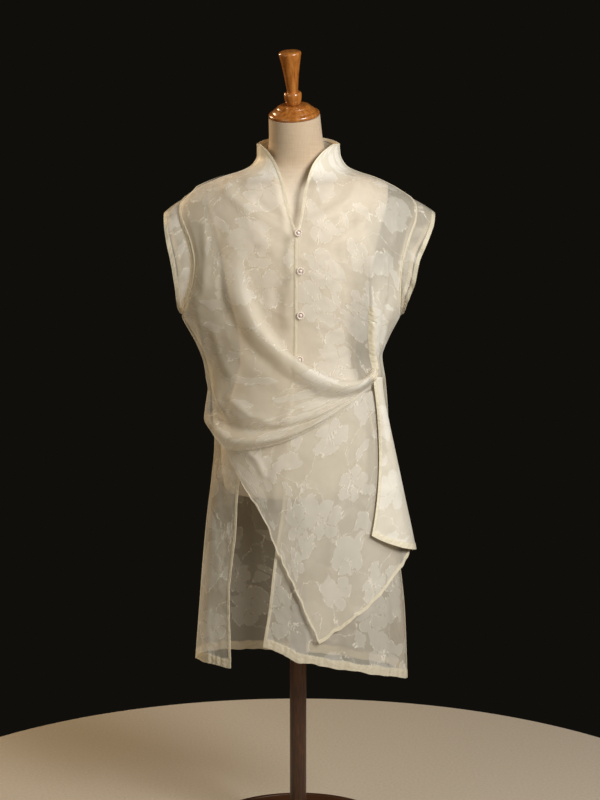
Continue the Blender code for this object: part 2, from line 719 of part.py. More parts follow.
def build_torso():
    around = 30
    heights = [row[0] for row in TORSO["rows"]]
    between = []
    for low, high in zip(heights, heights[1:]):
        steps = max(1, round((high - low) / 0.040))
        between += [blend(low, high, k / steps) for k in range(steps)]
    between.append(heights[-1])
    points = []
    for height in between:
        lean = value(TORSO, "lean", height)
        tilt = Matrix.Rotation(math.radians(NECK_SIDE * lean / NECK_LEAN), 3, "Y")
        tilt = tilt @ Matrix.Rotation(math.radians(lean), 3, "X")
        middle = Vector((value(TORSO, "shift_x", height), value(TORSO, "shift_y", height), height))
        for i in range(around):
            turn = 2.0 * math.pi * i / around
            deep = value(TORSO, "front" if math.cos(turn) > 0.0 else "back", height)
            across = value(TORSO, "half", height)
            points.append(middle + tilt @ Vector((across * math.sin(turn), -deep * math.cos(turn), 0.0)))
    faces = []
    for r in range(len(between) - 1):
        for i in range(around):
            after = (i + 1) % around
            low = r * around
            faces.append((low + i, low + after, low + around + after, low + around + i))
    faces.append(tuple(reversed(range(around))))
    faces.append(tuple(range(len(points) - around, len(points))))
    add_object("form_torso", points, faces, FORM_CLOTH)


def build_neck_cap():
    neck = bpy.data.objects.new("neck_top", None)
    COLLECTION.objects.link(neck)
    neck.location = (value(TORSO, "shift_x", NECK_TOP), value(TORSO, "shift_y", NECK_TOP), NECK_TOP)
    neck.rotation_euler = (math.radians(NECK_LEAN), math.radians(NECK_SIDE), 0.0)
    cap_profile = (
        (0.0, 0.0), (0.0492, 0.0), (0.0512, 0.0016), (0.0519, 0.0042), (0.0512, 0.0068),
        (0.0488, 0.0090), (0.0448, 0.0104), (0.0438, 0.0112), (0.0420, 0.0136), (0.0384, 0.0166),
        (0.0350, 0.0184), (0.0343, 0.0188), (0.0341, 0.0204), (0.0326, 0.0212), (0.0300, 0.0228),
        (0.0285, 0.0232), (0.0, 0.0232),
    )
    cap = turned("neck_cap", cap_profile, 32, TURNED_WOOD)
    cap.location = (0.0, 0.0, SEAM)
    cap.parent = neck
    finial_profile = (
        (0.0, 0.0), (0.0105, 0.0), (0.0150, 0.0045), (0.0177, 0.0150), (0.0180, 0.0205),
        (0.0163, 0.0259), (0.0130, 0.0262), (0.0114, 0.0290), (0.0118, 0.0350),
        (0.0136, 0.0490), (0.0158, 0.0650), (0.0184, 0.0810), (0.0210, 0.0950),
        (0.0226, 0.1030), (0.0221, 0.1068), (0.0190, 0.1089), (0.0, 0.1096),
    )
    finial = turned("finial", finial_profile, 20, TURNED_WOOD)
    finial.location = (0.0, 0.0, SEAM + cap_profile[-1][1] + SEAM)
    finial.parent = neck


def build_stand():
    edge = 0.006
    base_profile = (
        (0.0, 0.0), (STAND_RADIUS - 0.002, 0.0), (STAND_RADIUS, 0.002),
        (STAND_RADIUS, STAND_THICK - edge), (STAND_RADIUS - 0.4 * edge, STAND_THICK - 0.3 * edge),
        (STAND_RADIUS - edge, STAND_THICK), (0.0, STAND_THICK),
    )
    turned("base", base_profile, 40, STAND_WOOD)
    low = STAND_THICK + SEAM
    bpy.ops.mesh.primitive_cylinder_add(
        vertices=28, radius=POLE_RADIUS, depth=TORSO_BOTTOM - SEAM - low,
        location=(0.0, 0.0, 0.5 * (low + TORSO_BOTTOM - SEAM)),
    )
    pole = bpy.context.active_object
    pole.name = "pole"
    pole.data.name = "pole"
    pole.data.materials.append(material(STAND_WOOD))
    into_collection(pole)


clear_scene()
COLLECTION = bpy.data.collections.new("kebaya_blouse")
bpy.context.scene.collection.children.link(COLLECTION)
build_back()
build_front_right()
build_front_left()
build_sleeve("sleeve_right", -1.0, "right")
build_sleeve("sleeve_left", 1.0, "left")
build_cowl()
build_flap()
build_tail()
build_knot()
build_buttons()
build_torso()
build_neck_cap()
build_stand()
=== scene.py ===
"""Kebaya blouse of jacquard organza on its limbless dress form.

Metres, +Z up, wearer facing -Y, wearer's left towards +X.
"""
import math
from functools import partial

import bpy
import numpy as np
from mathutils import Matrix, Vector, noise


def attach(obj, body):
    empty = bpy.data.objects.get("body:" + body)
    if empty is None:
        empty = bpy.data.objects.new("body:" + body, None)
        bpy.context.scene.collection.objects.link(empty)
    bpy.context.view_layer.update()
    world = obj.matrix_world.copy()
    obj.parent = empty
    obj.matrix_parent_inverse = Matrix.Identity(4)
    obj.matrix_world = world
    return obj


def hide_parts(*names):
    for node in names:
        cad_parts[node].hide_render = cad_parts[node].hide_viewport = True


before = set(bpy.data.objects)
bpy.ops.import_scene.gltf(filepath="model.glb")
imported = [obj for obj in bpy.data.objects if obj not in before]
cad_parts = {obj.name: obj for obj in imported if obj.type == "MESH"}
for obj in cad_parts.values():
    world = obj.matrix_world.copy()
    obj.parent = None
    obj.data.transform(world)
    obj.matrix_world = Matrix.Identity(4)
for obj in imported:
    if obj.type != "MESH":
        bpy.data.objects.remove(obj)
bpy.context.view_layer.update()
bpy.ops.object.select_all(action="DESELECT")

# ---------------------------------------------------------------- stand
# A turned disc of stained hardwood carries the pole, which is pressed into its
# middle.  Both are dark, close-grained and finished with satin lacquer.
STAND_RADIUS = 0.200
STAND_THICK = 0.025
STAND_EDGE = 0.006
POLE_RADIUS = 0.0175
TORSO_BOTTOM = 0.745
SEAM = 0.0003
SAME_PLACE = 0.000001
GRAIN_ACROSS = 1.0 / 0.002    # lines to the metre
GRAIN_ALONG = 30.0
SURFACE = "Principled BSDF"


def linear(hex_colour):
    """An sRGB hex colour as linear red, green, blue and alpha."""
    parts = [int(hex_colour[i:i + 2], 16) / 255.0 for i in (1, 3, 5)]
    return (*[c / 12.92 if c <= 0.04045 else ((c + 0.055) / 1.055) ** 2.4 for c in parts], 1.0)


def add_node(tree, kind, inputs=(), out=0, stops=(), **settings):
    """Add a node, or take the surface; set and link its inputs; give back one of its outputs.

    A kind may carry its operation after a full stop.  stops: the places and colours of a ramp.
    """
    kind, _, operation = kind.partition(".")
    made = tree.nodes[kind] if kind == SURFACE else tree.nodes.new("ShaderNode" + kind)
    if operation:
        made.operation = operation
    for name, setting in settings.items():
        setattr(made, name, setting)
    for socket, given in (inputs.items() if isinstance(inputs, dict) else enumerate(inputs)):
        if isinstance(given, bpy.types.NodeSocket):
            tree.links.new(given, made.inputs[socket])
        else:
            made.inputs[socket].default_value = given
    for _ in stops[2:]:
        made.color_ramp.elements.new(0.5)
    if stops:
        for element, (place, colour) in zip(made.color_ramp.elements, stops):
            element.position = place
            element.color = linear(colour)
    return made.outputs[out]


def start_material(name):
    """A new material, and the function that adds its nodes."""
    made = bpy.data.materials.new(name)
    made.use_nodes = True
    return made, partial(add_node, made.node_tree)


def named(name):
    """The piece just added, under its own name."""
    piece = bpy.context.active_object
    piece.name = name
    piece.data.name = name
    return piece


def turn_on_lathe(name, profile, sides, smooth_to=35.0):
    """Build a turned piece up its axis: a disc, extruded and resized at each step of the profile."""
    radius, height = profile[0]
    bpy.ops.mesh.primitive_circle_add(
        vertices=sides, radius=radius, fill_type="NGON", location=(0.0, 0.0, height)
    )
    piece = named(name)
    bpy.ops.object.transform_apply(location=True)
    bpy.ops.object.mode_set(mode="EDIT")
    bpy.ops.mesh.select_all(action="SELECT")
    for wider, higher in profile[1:]:
        bpy.ops.mesh.extrude_region_move(
            TRANSFORM_OT_translate={"value": (0.0, 0.0, higher - height)}
        )
        share = wider / radius
        bpy.ops.transform.resize(value=(share, share, 1.0), center_override=(0.0, 0.0, higher))
        radius, height = wider, higher
    bpy.ops.mesh.select_all(action="SELECT")
    bpy.ops.mesh.remove_doubles(threshold=SAME_PLACE)
    bpy.ops.mesh.normals_make_consistent(inside=False)
    bpy.ops.object.mode_set(mode="OBJECT")
    bpy.ops.object.shade_smooth_by_angle(angle=math.radians(smooth_to))
    return piece


def rides(piece, node, material=None):
    """Give a finished piece its material, hang it from the root body and hide the part it stands in for."""
    if material:
        piece.data.materials.append(material)
    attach(piece, "root")
    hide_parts(node)


# Stained and lacquered hardwood: the lacquer gives a soft sheen over dark grain
# about 2 mm apart, which runs across the disc and up the pole.
def stained_hardwood(name, grain_stretch):
    made, add = start_material(name)
    place = add("TexCoord", out="Object")
    along = add("Mapping", {"Vector": place, "Scale": grain_stretch})
    grain = add("TexNoise", {
        "Vector": along, "Scale": 1.0, "Detail": 6.0, "Roughness": 0.62, "Distortion": 0.6,
    })
    colour = add("ValToRGB", (grain,), stops=(
        (0.30, "#24140B"), (0.47, "#3D2415"), (0.56, "#4A2E1B"), (0.72, "#5E3B23"),
    ))
    bump = add("Bump", {"Height": grain, "Strength": 0.12, "Distance": 0.0004})
    add(SURFACE, {
        "Base Color": colour, "Roughness": 0.38, "Coat Weight": 0.35, "Coat Roughness": 0.22,
        "Normal": bump,
    })
    return made


base = turn_on_lathe("base_turned", (
    (STAND_RADIUS - 0.0020, 0.0), (STAND_RADIUS - 0.0004, 0.0006), (STAND_RADIUS, 0.0020),
    (STAND_RADIUS, STAND_THICK - STAND_EDGE),
    (STAND_RADIUS - 0.0008, STAND_THICK - 0.60 * STAND_EDGE),
    (STAND_RADIUS - 0.0026, STAND_THICK - 0.24 * STAND_EDGE),
    (STAND_RADIUS - STAND_EDGE, STAND_THICK), (STAND_RADIUS - 0.0160, STAND_THICK),
    (STAND_RADIUS - 0.0170, STAND_THICK - 0.0012), (STAND_RADIUS - 0.0185, STAND_THICK - 0.0012),
    (STAND_RADIUS - 0.0195, STAND_THICK), (0.0300, STAND_THICK),
), 128)
disc_grain = stained_hardwood("stained_hardwood_disc", (GRAIN_ALONG, GRAIN_ACROSS, GRAIN_ACROSS))
rides(base, "base", disc_grain)

pole_low = STAND_THICK + SEAM
pole_high = TORSO_BOTTOM - SEAM
pole = turn_on_lathe("pole_turned", (
    (POLE_RADIUS, pole_low), (POLE_RADIUS, pole_low + 0.0080), (POLE_RADIUS - 0.0008, pole_low + 0.0088),
    (POLE_RADIUS - 0.0008, pole_low + 0.0100), (POLE_RADIUS, pole_low + 0.0108),
    (POLE_RADIUS, 0.5 * (pole_low + pole_high)), (POLE_RADIUS, pole_high - 0.0015),
    (POLE_RADIUS - 0.0012, pole_high),
), 64)
pole_grain = stained_hardwood("stained_hardwood_pole", (GRAIN_ACROSS, GRAIN_ACROSS, GRAIN_ALONG))
rides(pole, "pole", pole_grain)

# ---------------------------------------------------------------- form
# The limbless torso is a hard shell covered with unbleached linen drawn tight,
# with a flat bottom where the pole enters.  Its neck leans a little forward.


def table(columns, *rows):
    """Measures under named columns, the first of which is the one they are looked up by."""
    return {name: np.array(column, float) for name, column in zip(columns.split(), zip(*rows))}


TORSO = table(
    "height half front back",
    (0.745, 0.135, 0.088, 0.096),
    (0.748, 0.146, 0.098, 0.106),
    (0.757, 0.153, 0.104, 0.113),
    (0.800, 0.160, 0.109, 0.121),
    (0.850, 0.161, 0.108, 0.121),
    (0.900, 0.153, 0.103, 0.113),
    (0.960, 0.135, 0.096, 0.098),
    (1.030, 0.119, 0.092, 0.087),
    (1.090, 0.126, 0.098, 0.089),
    (1.150, 0.141, 0.112, 0.096),
    (1.210, 0.153, 0.121, 0.102),
    (1.260, 0.162, 0.114, 0.103),
    (1.310, 0.174, 0.096, 0.099),
    (1.345, 0.183, 0.080, 0.092),
    (1.368, 0.184, 0.070, 0.085),
    (1.381, 0.1835, 0.066, 0.081),
    (1.389, 0.1700, 0.064, 0.078),
    (1.397, 0.1498, 0.062, 0.074),
    (1.405, 0.1228, 0.060, 0.070),
    (1.413, 0.0990, 0.058, 0.065),
    (1.425, 0.0710, 0.055, 0.058),
    (1.445, 0.0595, 0.053, 0.053),
    (1.480, 0.0545, 0.0525, 0.0525),
    (1.519, 0.0525, 0.0525, 0.0525),
)
# Where the middle of a ring lies, and how many degrees it leans forward.
NECK = table(
    "height shift_x shift_y lean",
    (1.397, 0.0, 0.0, 0.0),
    (1.405, 0.0, 0.0, 0.0),
    (1.413, 0.0, 0.0, 0.5),
    (1.425, -0.001, -0.002, 2.0),
    (1.445, -0.003, -0.005, 6.0),
    (1.480, -0.005, -0.011, 11.0),
    (1.519, -0.0075, -0.018, 15.0),
)
NECK_TOP = 1.519
NECK_LEAN = 15.0
NECK_SIDE = -4.0
COVER_DRAWN_IN = 0.0005   # the linen lies this far inside the form's rings
RING_GAP = 0.005          # between the rings of the form
CLOSED_WITHIN = 0.00003   # vertices nearer than this close a seam


def curve_through(places, values, where):
    """Monotone cubic through the rows of a table, at one place or an array of them."""
    places = np.asarray(places, float)
    values = np.asarray(values, float)
    where = np.asarray(where, float)
    gaps = np.diff(places)
    rises = np.diff(values) / gaps
    before, after = rises[:-1], rises[1:]
    same_way = before * after > 0.0
    both = np.where(same_way, before + after, 1.0)
    inner = np.where(same_way, 2.0 * before * after / both, 0.0)
    slopes = np.concatenate(([rises[0]], inner, [rises[-1]]))
    k = np.clip(np.searchsorted(places, where, side="right") - 1, 0, len(gaps) - 1)
    t = np.clip((where - places[k]) / gaps[k], 0.0, 1.0)
    start = (1 + 2 * t) * (1 - t) ** 2 * values[k]
    leave = t * (1 - t) ** 2 * gaps[k] * slopes[k]
    end = t * t * (3 - 2 * t) * values[k + 1]
    reach = t * t * (t - 1) * gaps[k] * slopes[k + 1]
    return start + leave + end + reach


def from_table(measures, name, where):
    return curve_through(next(iter(measures.values())), measures[name], where)


def ease(low, high, where):
    t = np.clip((np.asarray(where, float) - low) / (high - low), 0.0, 1.0)
    return t * t * (3.0 - 2.0 * t)


def blend(a, b, t):
    return a + (b - a) * t


def cloth_grid(name, places):
    """Lay a grid primitive over an array of places (rows, columns, 3); gives its order too."""
    rows, columns = places.shape[:2]
    bpy.ops.mesh.primitive_grid_add(x_subdivisions=columns - 1, y_subdivisions=rows - 1, size=1.0)
    piece = named(name)
    flat = np.zeros(rows * columns * 3)
    piece.data.vertices.foreach_get("co", flat)
    shares = flat.reshape(-1, 3)[:, :2] + 0.5
    column, row = np.rint(shares * (columns - 1, rows - 1)).astype(int).T
    piece.data.vertices.foreach_set("co", places[row, column].astype(np.float32).ravel())
    return piece, row * columns + column


def merge_doubles(piece, nearer_than=SAME_PLACE):
    """Merge the vertices of a piece that lie nearer together than that, and leave it selected."""
    bpy.ops.object.select_all(action="DESELECT")
    bpy.context.view_layer.objects.active = piece
    piece.select_set(True)
    bpy.ops.object.mode_set(mode="EDIT")
    bpy.ops.mesh.select_all(action="SELECT")
    bpy.ops.mesh.remove_doubles(threshold=nearer_than)
    bpy.ops.object.mode_set(mode="OBJECT")


around = np.linspace(0.0, 2.0 * math.pi, 97)
levels = np.concatenate([
    np.linspace(a, b, max(2, round((b - a) / RING_GAP)), endpoint=False)
    for a, b in zip(TORSO["height"], TORSO["height"][1:])
] + [[NECK_TOP]])
places = np.zeros((len(levels), len(around), 3))
for r, level in enumerate(levels):
    lean = float(from_table(NECK, "lean", level))
    tilt = Matrix.Rotation(math.radians(NECK_SIDE * lean / NECK_LEAN), 3, "Y")
    tilt = np.array(tilt @ Matrix.Rotation(math.radians(lean), 3, "X"))
    half = from_table(TORSO, "half", level) - COVER_DRAWN_IN
    before, behind = from_table(TORSO, "front", level), from_table(TORSO, "back", level)
    deep = np.where(np.cos(around) > 0.0, before, behind)
    ring = np.stack([half * np.sin(around), -deep * np.cos(around), np.zeros(len(around))], axis=1)
    middle = (from_table(NECK, "shift_x", level), from_table(NECK, "shift_y", level), level)
    places[r] = ring @ tilt.T + np.array(middle)
places[:, -1] = places[:, 0]
form = cloth_grid("form_cover", places)[0]
merge_doubles(form, CLOSED_WITHIN)
bpy.ops.object.mode_set(mode="EDIT")
bpy.ops.mesh.select_all(action="DESELECT")
bpy.ops.mesh.select_non_manifold()
bpy.ops.mesh.edge_face_add()
bpy.ops.mesh.select_all(action="SELECT")
bpy.ops.mesh.normals_make_consistent(inside=False)
bpy.ops.object.mode_set(mode="OBJECT")
bpy.ops.object.shade_smooth_by_angle(angle=math.radians(50.0))


# Unbleached linen: matt plain weave.  Its threads are 0.5 mm apart and are drawn
# 1.1 mm apart so that they show, with thicker slubs now and then.  The neck is
# painted a little darker as painted shade, standing in for the weaker light it gets.
def unbleached_linen():
    made, add = start_material("unbleached_linen")
    place = add("TexCoord", out="Object")
    x, y, z = add("SeparateXYZ", (place,)).node.outputs
    arc = add("Math.MULTIPLY", (add("Math.ARCTAN2", (x, y)), 0.055))
    wound = add("CombineXYZ", (arc, 0.0, 0.0))
    run = {"Scale": 2.0 * math.pi / (20.0 * 0.0011), "Detail": 1.0, "Detail Scale": 0.3}
    weft = add("TexWave", {"Vector": place, "Distortion": 1.2, **run}, bands_direction="Z")
    warp = add("TexWave", {"Vector": wound, "Distortion": 0.8, **run}, bands_direction="X")
    weave = add("Math.MULTIPLY", (weft, warp))
    slubs = [
        add("TexNoise", {
            "Vector": add("Mapping", {"Vector": place, "Scale": stretch}), "Scale": 1.0, "Detail": 3.0,
        }) for stretch in ((30.0, 30.0, 420.0), (420.0, 420.0, 24.0))
    ]
    cross = add("Math.MULTIPLY", (add("Math.ADD", slubs), 0.34))
    tone = add("Math.MULTIPLY_ADD", (weave, 0.16, cross))
    colour = add("ValToRGB", (tone,), stops=((0.18, "#DED1BF"), (0.36, "#ECE1D1"), (0.58, "#F4ECDF")))
    # Painted shade: the linen is multiplied darker from 1.36 m up to the neck.
    painted_neck_shade = add("MapRange", {"Value": z, "From Min": 1.36, "From Max": 1.43})
    colour = add("Mix", {
        "Factor": painted_neck_shade, 6: colour, 7: linear("#DDD0C0"),
    }, 2, data_type="RGBA", blend_type="MULTIPLY")
    relief = add("Bump", {"Height": tone, "Strength": 0.5, "Distance": 0.0005})
    add(SURFACE, {
        "Base Color": colour, "Roughness": 0.88, "Sheen Weight": 0.25, "Sheen Roughness": 0.5,
        "Specular IOR Level": 0.25, "Normal": relief,
    })
    return made


rides(form, "form_torso", unbleached_linen())

# A stepped wooden cap closes the neck and a tapered wooden finial stands in it.
# Both are turned in beech and varnished a warm brown.
neck_tilt = Matrix.Translation((
    from_table(NECK, "shift_x", NECK_TOP), from_table(NECK, "shift_y", NECK_TOP), NECK_TOP,
)) @ Matrix.Rotation(math.radians(NECK_SIDE), 4, "Y") @ Matrix.Rotation(math.radians(NECK_LEAN), 4, "X")
CAP_HIGH = 0.0232


# Varnished beech: the clear gloss coat gives small bright highlights over warm
# brown wood, with grain bands 3 mm apart and short dark flecks 3 mm long.
def varnished_beech():
    made, add = start_material("varnished_beech")
    upright = add("Mapping", {
        "Vector": add("TexCoord", out="Object"),
        "Rotation": (math.radians(-NECK_LEAN), math.radians(-NECK_SIDE), 0.0),
    })
    along = add("Mapping", {"Vector": upright, "Scale": (150.0, 150.0, 14.0)})
    grain = add("TexNoise", {
        "Vector": along, "Scale": 1.0, "Detail": 5.0, "Roughness": 0.55, "Distortion": 0.4,
    })
    colour = add("ValToRGB", (grain,), stops=(
        (0.28, "#8A4E1C"), (0.46, "#A9672A"), (0.56, "#B87535"), (0.74, "#C98A48"),
    ))
    flecks = add("Mapping", {"Vector": upright, "Scale": (1500.0, 1500.0, 330.0)})
    fleck = add("TexNoise", {"Vector": flecks, "Scale": 1.0, "Detail": 1.0})
    dark = add("MapRange", {
        "Value": fleck, "From Min": 0.66, "From Max": 0.74, "To Min": 0.0, "To Max": 0.55,
    })
    flecked = add("Mix", {"Factor": dark, 6: colour, 7: linear("#6B3A14")}, 2, data_type="RGBA")
    bump = add("Bump", {"Height": grain, "Strength": 0.08, "Distance": 0.0003})
    add(SURFACE, {
        "Base Color": flecked, "Roughness": 0.34, "Coat Weight": 0.85, "Coat Roughness": 0.10,
        "Normal": bump,
    })
    return made


beech = varnished_beech()
cap = turn_on_lathe("neck_cap_turned", (
    (0.0487, 0.0003), (0.0500, 0.0005), (0.0512, 0.0016), (0.0519, 0.0042), (0.0512, 0.0068),
    (0.0502, 0.0081), (0.0488, 0.0090), (0.0468, 0.0098), (0.0450, 0.0101), (0.0443, 0.0104),
    (0.0438, 0.0112), (0.0430, 0.0125), (0.0420, 0.0136), (0.0404, 0.0152), (0.0384, 0.0166),
    (0.0366, 0.0177), (0.0350, 0.0184), (0.0344, 0.0189), (0.0341, 0.0204), (0.0336, 0.0209),
    (0.0326, 0.0214), (0.0313, 0.0223), (0.0300, 0.0229), (0.0285, CAP_HIGH + 0.0003),
    (0.0180, CAP_HIGH + 0.0003),
), 128, 60.0)
cap.data.transform(neck_tilt)
rides(cap, "neck_cap", beech)

finial_foot = 2.0 * SEAM + CAP_HIGH
finial = turn_on_lathe("finial_turned", tuple((radius, finial_foot + height) for radius, height in (
    (0.0105, 0.0), (0.0125, 0.0010), (0.0150, 0.0045), (0.0168, 0.0095), (0.0177, 0.0150),
    (0.0180, 0.0200), (0.0176, 0.0238), (0.0163, 0.0259), (0.0144, 0.0264), (0.0130, 0.0256),
    (0.0115, 0.0256), (0.0113, 0.0290), (0.0118, 0.0350), (0.0136, 0.0490), (0.0158, 0.0650),
    (0.0184, 0.0810), (0.0210, 0.0950), (0.0224, 0.1020), (0.0227, 0.1045), (0.0221, 0.1068),
    (0.0205, 0.1083), (0.0170, 0.1092), (0.0100, 0.1096), (0.0040, 0.1096),
)), 96, 50.0)
finial.data.transform(neck_tilt)
rides(finial, "finial", beech)

# ---------------------------------------------------------------- back
# The back is one panel of jacquard organza from side seam to side seam, cut with
# its half of the standing collar, and hemmed with a doubled turning.
BODY = table(
    "height right left front back",
    (0.330, 0.219, 0.229, 0.143, 0.138),
    (0.400, 0.214, 0.227, 0.141, 0.136),
    (0.500, 0.206, 0.222, 0.139, 0.133),
    (0.600, 0.198, 0.211, 0.137, 0.131),
    (0.700, 0.188, 0.200, 0.135, 0.130),
    (0.780, 0.178, 0.192, 0.134, 0.130),
    (0.850, 0.172, 0.187, 0.132, 0.129),
    (0.920, 0.175, 0.184, 0.131, 0.125),
    (0.980, 0.180, 0.179, 0.130, 0.119),
    (1.030, 0.190, 0.172, 0.131, 0.115),
    (1.065, 0.206, 0.184, 0.132, 0.113),
    (1.112, 0.233, 0.208, 0.134, 0.113),
    (1.160, 0.250, 0.232, 0.136, 0.114),
    (1.210, 0.262, 0.254, 0.137, 0.115),
    (1.260, 0.266, 0.266, 0.133, 0.115),
    (1.300, 0.264, 0.264, 0.122, 0.113),
    (1.340, 0.246, 0.246, 0.104, 0.107),
    (1.372, 0.206, 0.204, 0.092, 0.099),
    (1.385, 0.180, 0.180, 0.087, 0.094),
    (1.397, 0.151, 0.152, 0.083, 0.089),
    (1.405, 0.124, 0.126, 0.080, 0.085),
    (1.413, 0.104, 0.106, 0.078, 0.081),
    (1.423, 0.091, 0.094, 0.076, 0.077),
    (1.440, 0.082, 0.085, 0.071, 0.071),
    (1.460, 0.082, 0.083, 0.067, 0.068),
    (1.480, 0.085, 0.086, 0.067, 0.070),
)
HEM = table(
    "angle height",
    (-180, 0.364), (-135, 0.380), (-90, 0.390), (-55, 0.400), (-40, 0.399),
    (-22, 0.449), (-12, 0.440), (0, 0.420), (27, 0.398), (56, 0.372),
    (90, 0.350), (135, 0.353), (180, 0.364),
)
# Soft folds: a ridge from (angle, height) to (angle, height), its width in degrees, its rise.
FOLDS = (
    (-50.0, 1.385, -11.0, 1.312, 5.0, 0.0060),
    (-26.0, 1.335, -11.0, 1.255, 4.5, 0.0040),
    (42.0, 1.392, 10.0, 1.318, 5.5, 0.0065),
    (35.0, 1.330, 11.0, 1.250, 5.0, 0.0040),
    (33.0, 1.250, 60.0, 1.010, 5.0, 0.0060),
    (58.0, 1.130, 66.0, 1.000, 6.0, 0.0050),
    (-66.0, 0.760, -62.0, 0.400, 8.0, 0.0070),
    (70.0, 0.640, 72.0, 0.360, 8.0, 0.0060),
    (38.0, 0.560, 34.0, 0.390, 9.0, 0.0050),
    (-128.0, 1.240, -112.0, 0.960, 9.0, 0.0050),
    (128.0, 1.240, 112.0, 0.960, 9.0, 0.0050),
    (-150.0, 0.860, -158.0, 0.370, 9.0, 0.0080),
    (-116.0, 0.820, -120.0, 0.380, 9.0, 0.0070),
    (118.0, 0.820, 122.0, 0.360, 9.0, 0.0070),
    (152.0, 0.880, 160.0, 0.360, 9.0, 0.0080),
    (178.0, 0.840, 180.0, 0.360, 8.0, 0.0050),
)
CLOTH_THICK = 0.0009
DOUBLED_THICK = 0.0017
HEM_BAND = 0.018
SEAM_BAND = 0.0028
EDGE_BAND = 0.0060
COLLAR_BAND = 0.006
UNDERARM = 1.112
SHOULDER_POINT = 1.354
ARMHOLE_CUT = 36.0
SEAM_ANGLE = 0.05
LOWER_LEVEL = 0.84
LEVELS = (
    0.840, 0.890, 0.935, 0.975, 1.010, 1.040, 1.070, 1.095, 1.112, 1.118, 1.130,
    1.155, 1.190, 1.225, 1.260, 1.290, 1.315, 1.338, 1.354, 1.365, 1.373, 1.381,
    1.389, 1.397, 1.405, 1.413, 1.423, 1.436, 1.450,
)
COLLAR_TOP = 1.464
COLLAR_BACK_RISE = 0.012
COLLAR_PLIES = 3.5         # more than the cloth's own
HELD_FLAT = 0.030          # how far beside a seam the cloth is held flat
OFF_FORM = 0.0002          # between the worn body shape and the cloth
CRINKLES = ((0.045, 0.0014), (0.014, 0.0007))    # size and rise
HEM_FLUTES = (0.026, 0.0042)                     # of the hem's own line
PUCKER = (0.034, 0.0009)   # how far from a hem its stitching draws the cloth up, and how much
STITCHING = 0.007          # how far from the hem the draw begins to fade
SEED_STEP = 7.31           # keeps one seed's noise away from the next


def ring_place(angle, height):
    turn = np.radians(angle)
    left, right = from_table(BODY, "left", height), from_table(BODY, "right", height)
    across = np.where(np.sin(turn) > 0.0, left, right)
    deep = np.where(np.cos(turn) > 0.0, from_table(BODY, "front", height), from_table(BODY, "back", height))
    return np.stack([across * np.sin(turn), -deep * np.cos(turn), height + 0.0 * turn], axis=-1)


def wrapped(angle):
    return (np.asarray(angle, float) + 180.0) % 360.0 - 180.0


def fold_rise(angle, height):
    total = np.zeros(np.broadcast(angle, height).shape)
    for top_angle, top_height, low_angle, low_height, width, rise in FOLDS:
        t = (top_height - height) / (top_height - low_height)
        away = wrapped(angle - blend(top_angle, low_angle, t))
        ends = ease(-0.35, 0.15, t) * (1.0 - ease(0.85, 1.35, t))
        total += rise * ends * np.exp(-(away / width) ** 2)
    return total


def body_place(angle, height, lift=0.0):
    """Places on the worn cloth's inner face, moved out by lift."""
    angle = np.asarray(angle, float)
    height = np.asarray(height, float)
    round_body = ring_place(angle + 0.4, height) - ring_place(angle - 0.4, height)
    up_body = ring_place(angle, height + 0.0008) - ring_place(angle, height - 0.0008)
    outward = np.cross(round_body, up_body)
    outward /= np.linalg.norm(outward, axis=-1, keepdims=True)
    return ring_place(angle, height) + outward * (lift + fold_rise(angle, height))[..., None]


def angle_at(across, height, lift=0.0):
    reach = np.where(across > 0.0, from_table(BODY, "left", height), from_table(BODY, "right", height))
    return np.degrees(np.arcsin(np.clip(across / (reach + lift), -1.0, 1.0)))


def armhole_angle(height):
    w = np.clip((height - UNDERARM) / (SHOULDER_POINT - UNDERARM), 0.0, 1.0)
    return 90.0 - ARMHOLE_CUT * np.sin(math.pi * w).clip(0.0) ** 0.55


LOWER_ROWS = 96
TOP_ROWS = 4
upper_levels = np.concatenate([
    np.linspace(a, b, max(1, math.ceil((b - a) / 0.0048)), endpoint=False)
    for a, b in zip(LEVELS, LEVELS[1:])
] + [[LEVELS[-1]]])
ROW_COUNT = LOWER_ROWS + len(upper_levels) + TOP_ROWS


def row_heights(angle):
    """Height of every grid row, hem first, where it crosses the given angles (rows, columns)."""
    row = np.arange(ROW_COUNT)[:, None]
    collar_row = row - LOWER_ROWS - len(upper_levels)
    hem = from_table(HEM, "height", wrapped(angle))
    top = COLLAR_TOP + COLLAR_BACK_RISE * ease(90.0, 150.0, np.abs(wrapped(angle)))
    fixed = np.concatenate([np.zeros(LOWER_ROWS), upper_levels, np.zeros(TOP_ROWS)])[:, None]
    heights = np.where(row < LOWER_ROWS, blend(hem, LOWER_LEVEL, row / LOWER_ROWS), fixed)
    return np.where(collar_row >= 0, blend(LEVELS[-1], top, (collar_row + 1) / TOP_ROWS), heights)


def edge_on_rows(edge):
    """An edge's angle on every row, settled with the row's own height there."""
    angle = np.full((ROW_COUNT, 1), float(edge(LOWER_LEVEL)))
    for _ in range(9):
        angle = edge(row_heights(angle))
    return angle


def crinkle(places, seed, *waves):
    """The crisp, uneven surface of organza: seeded noise, with a size and a rise for each wave."""
    total = 0.0
    for k, (size, rise) in enumerate(waves):
        lifts = [noise.noise(Vector(p)) for p in places.reshape(-1, 3) / size + (seed + k) * SEED_STEP]
        total = total + rise * np.array(lifts).reshape(places.shape[:-1])
    return total


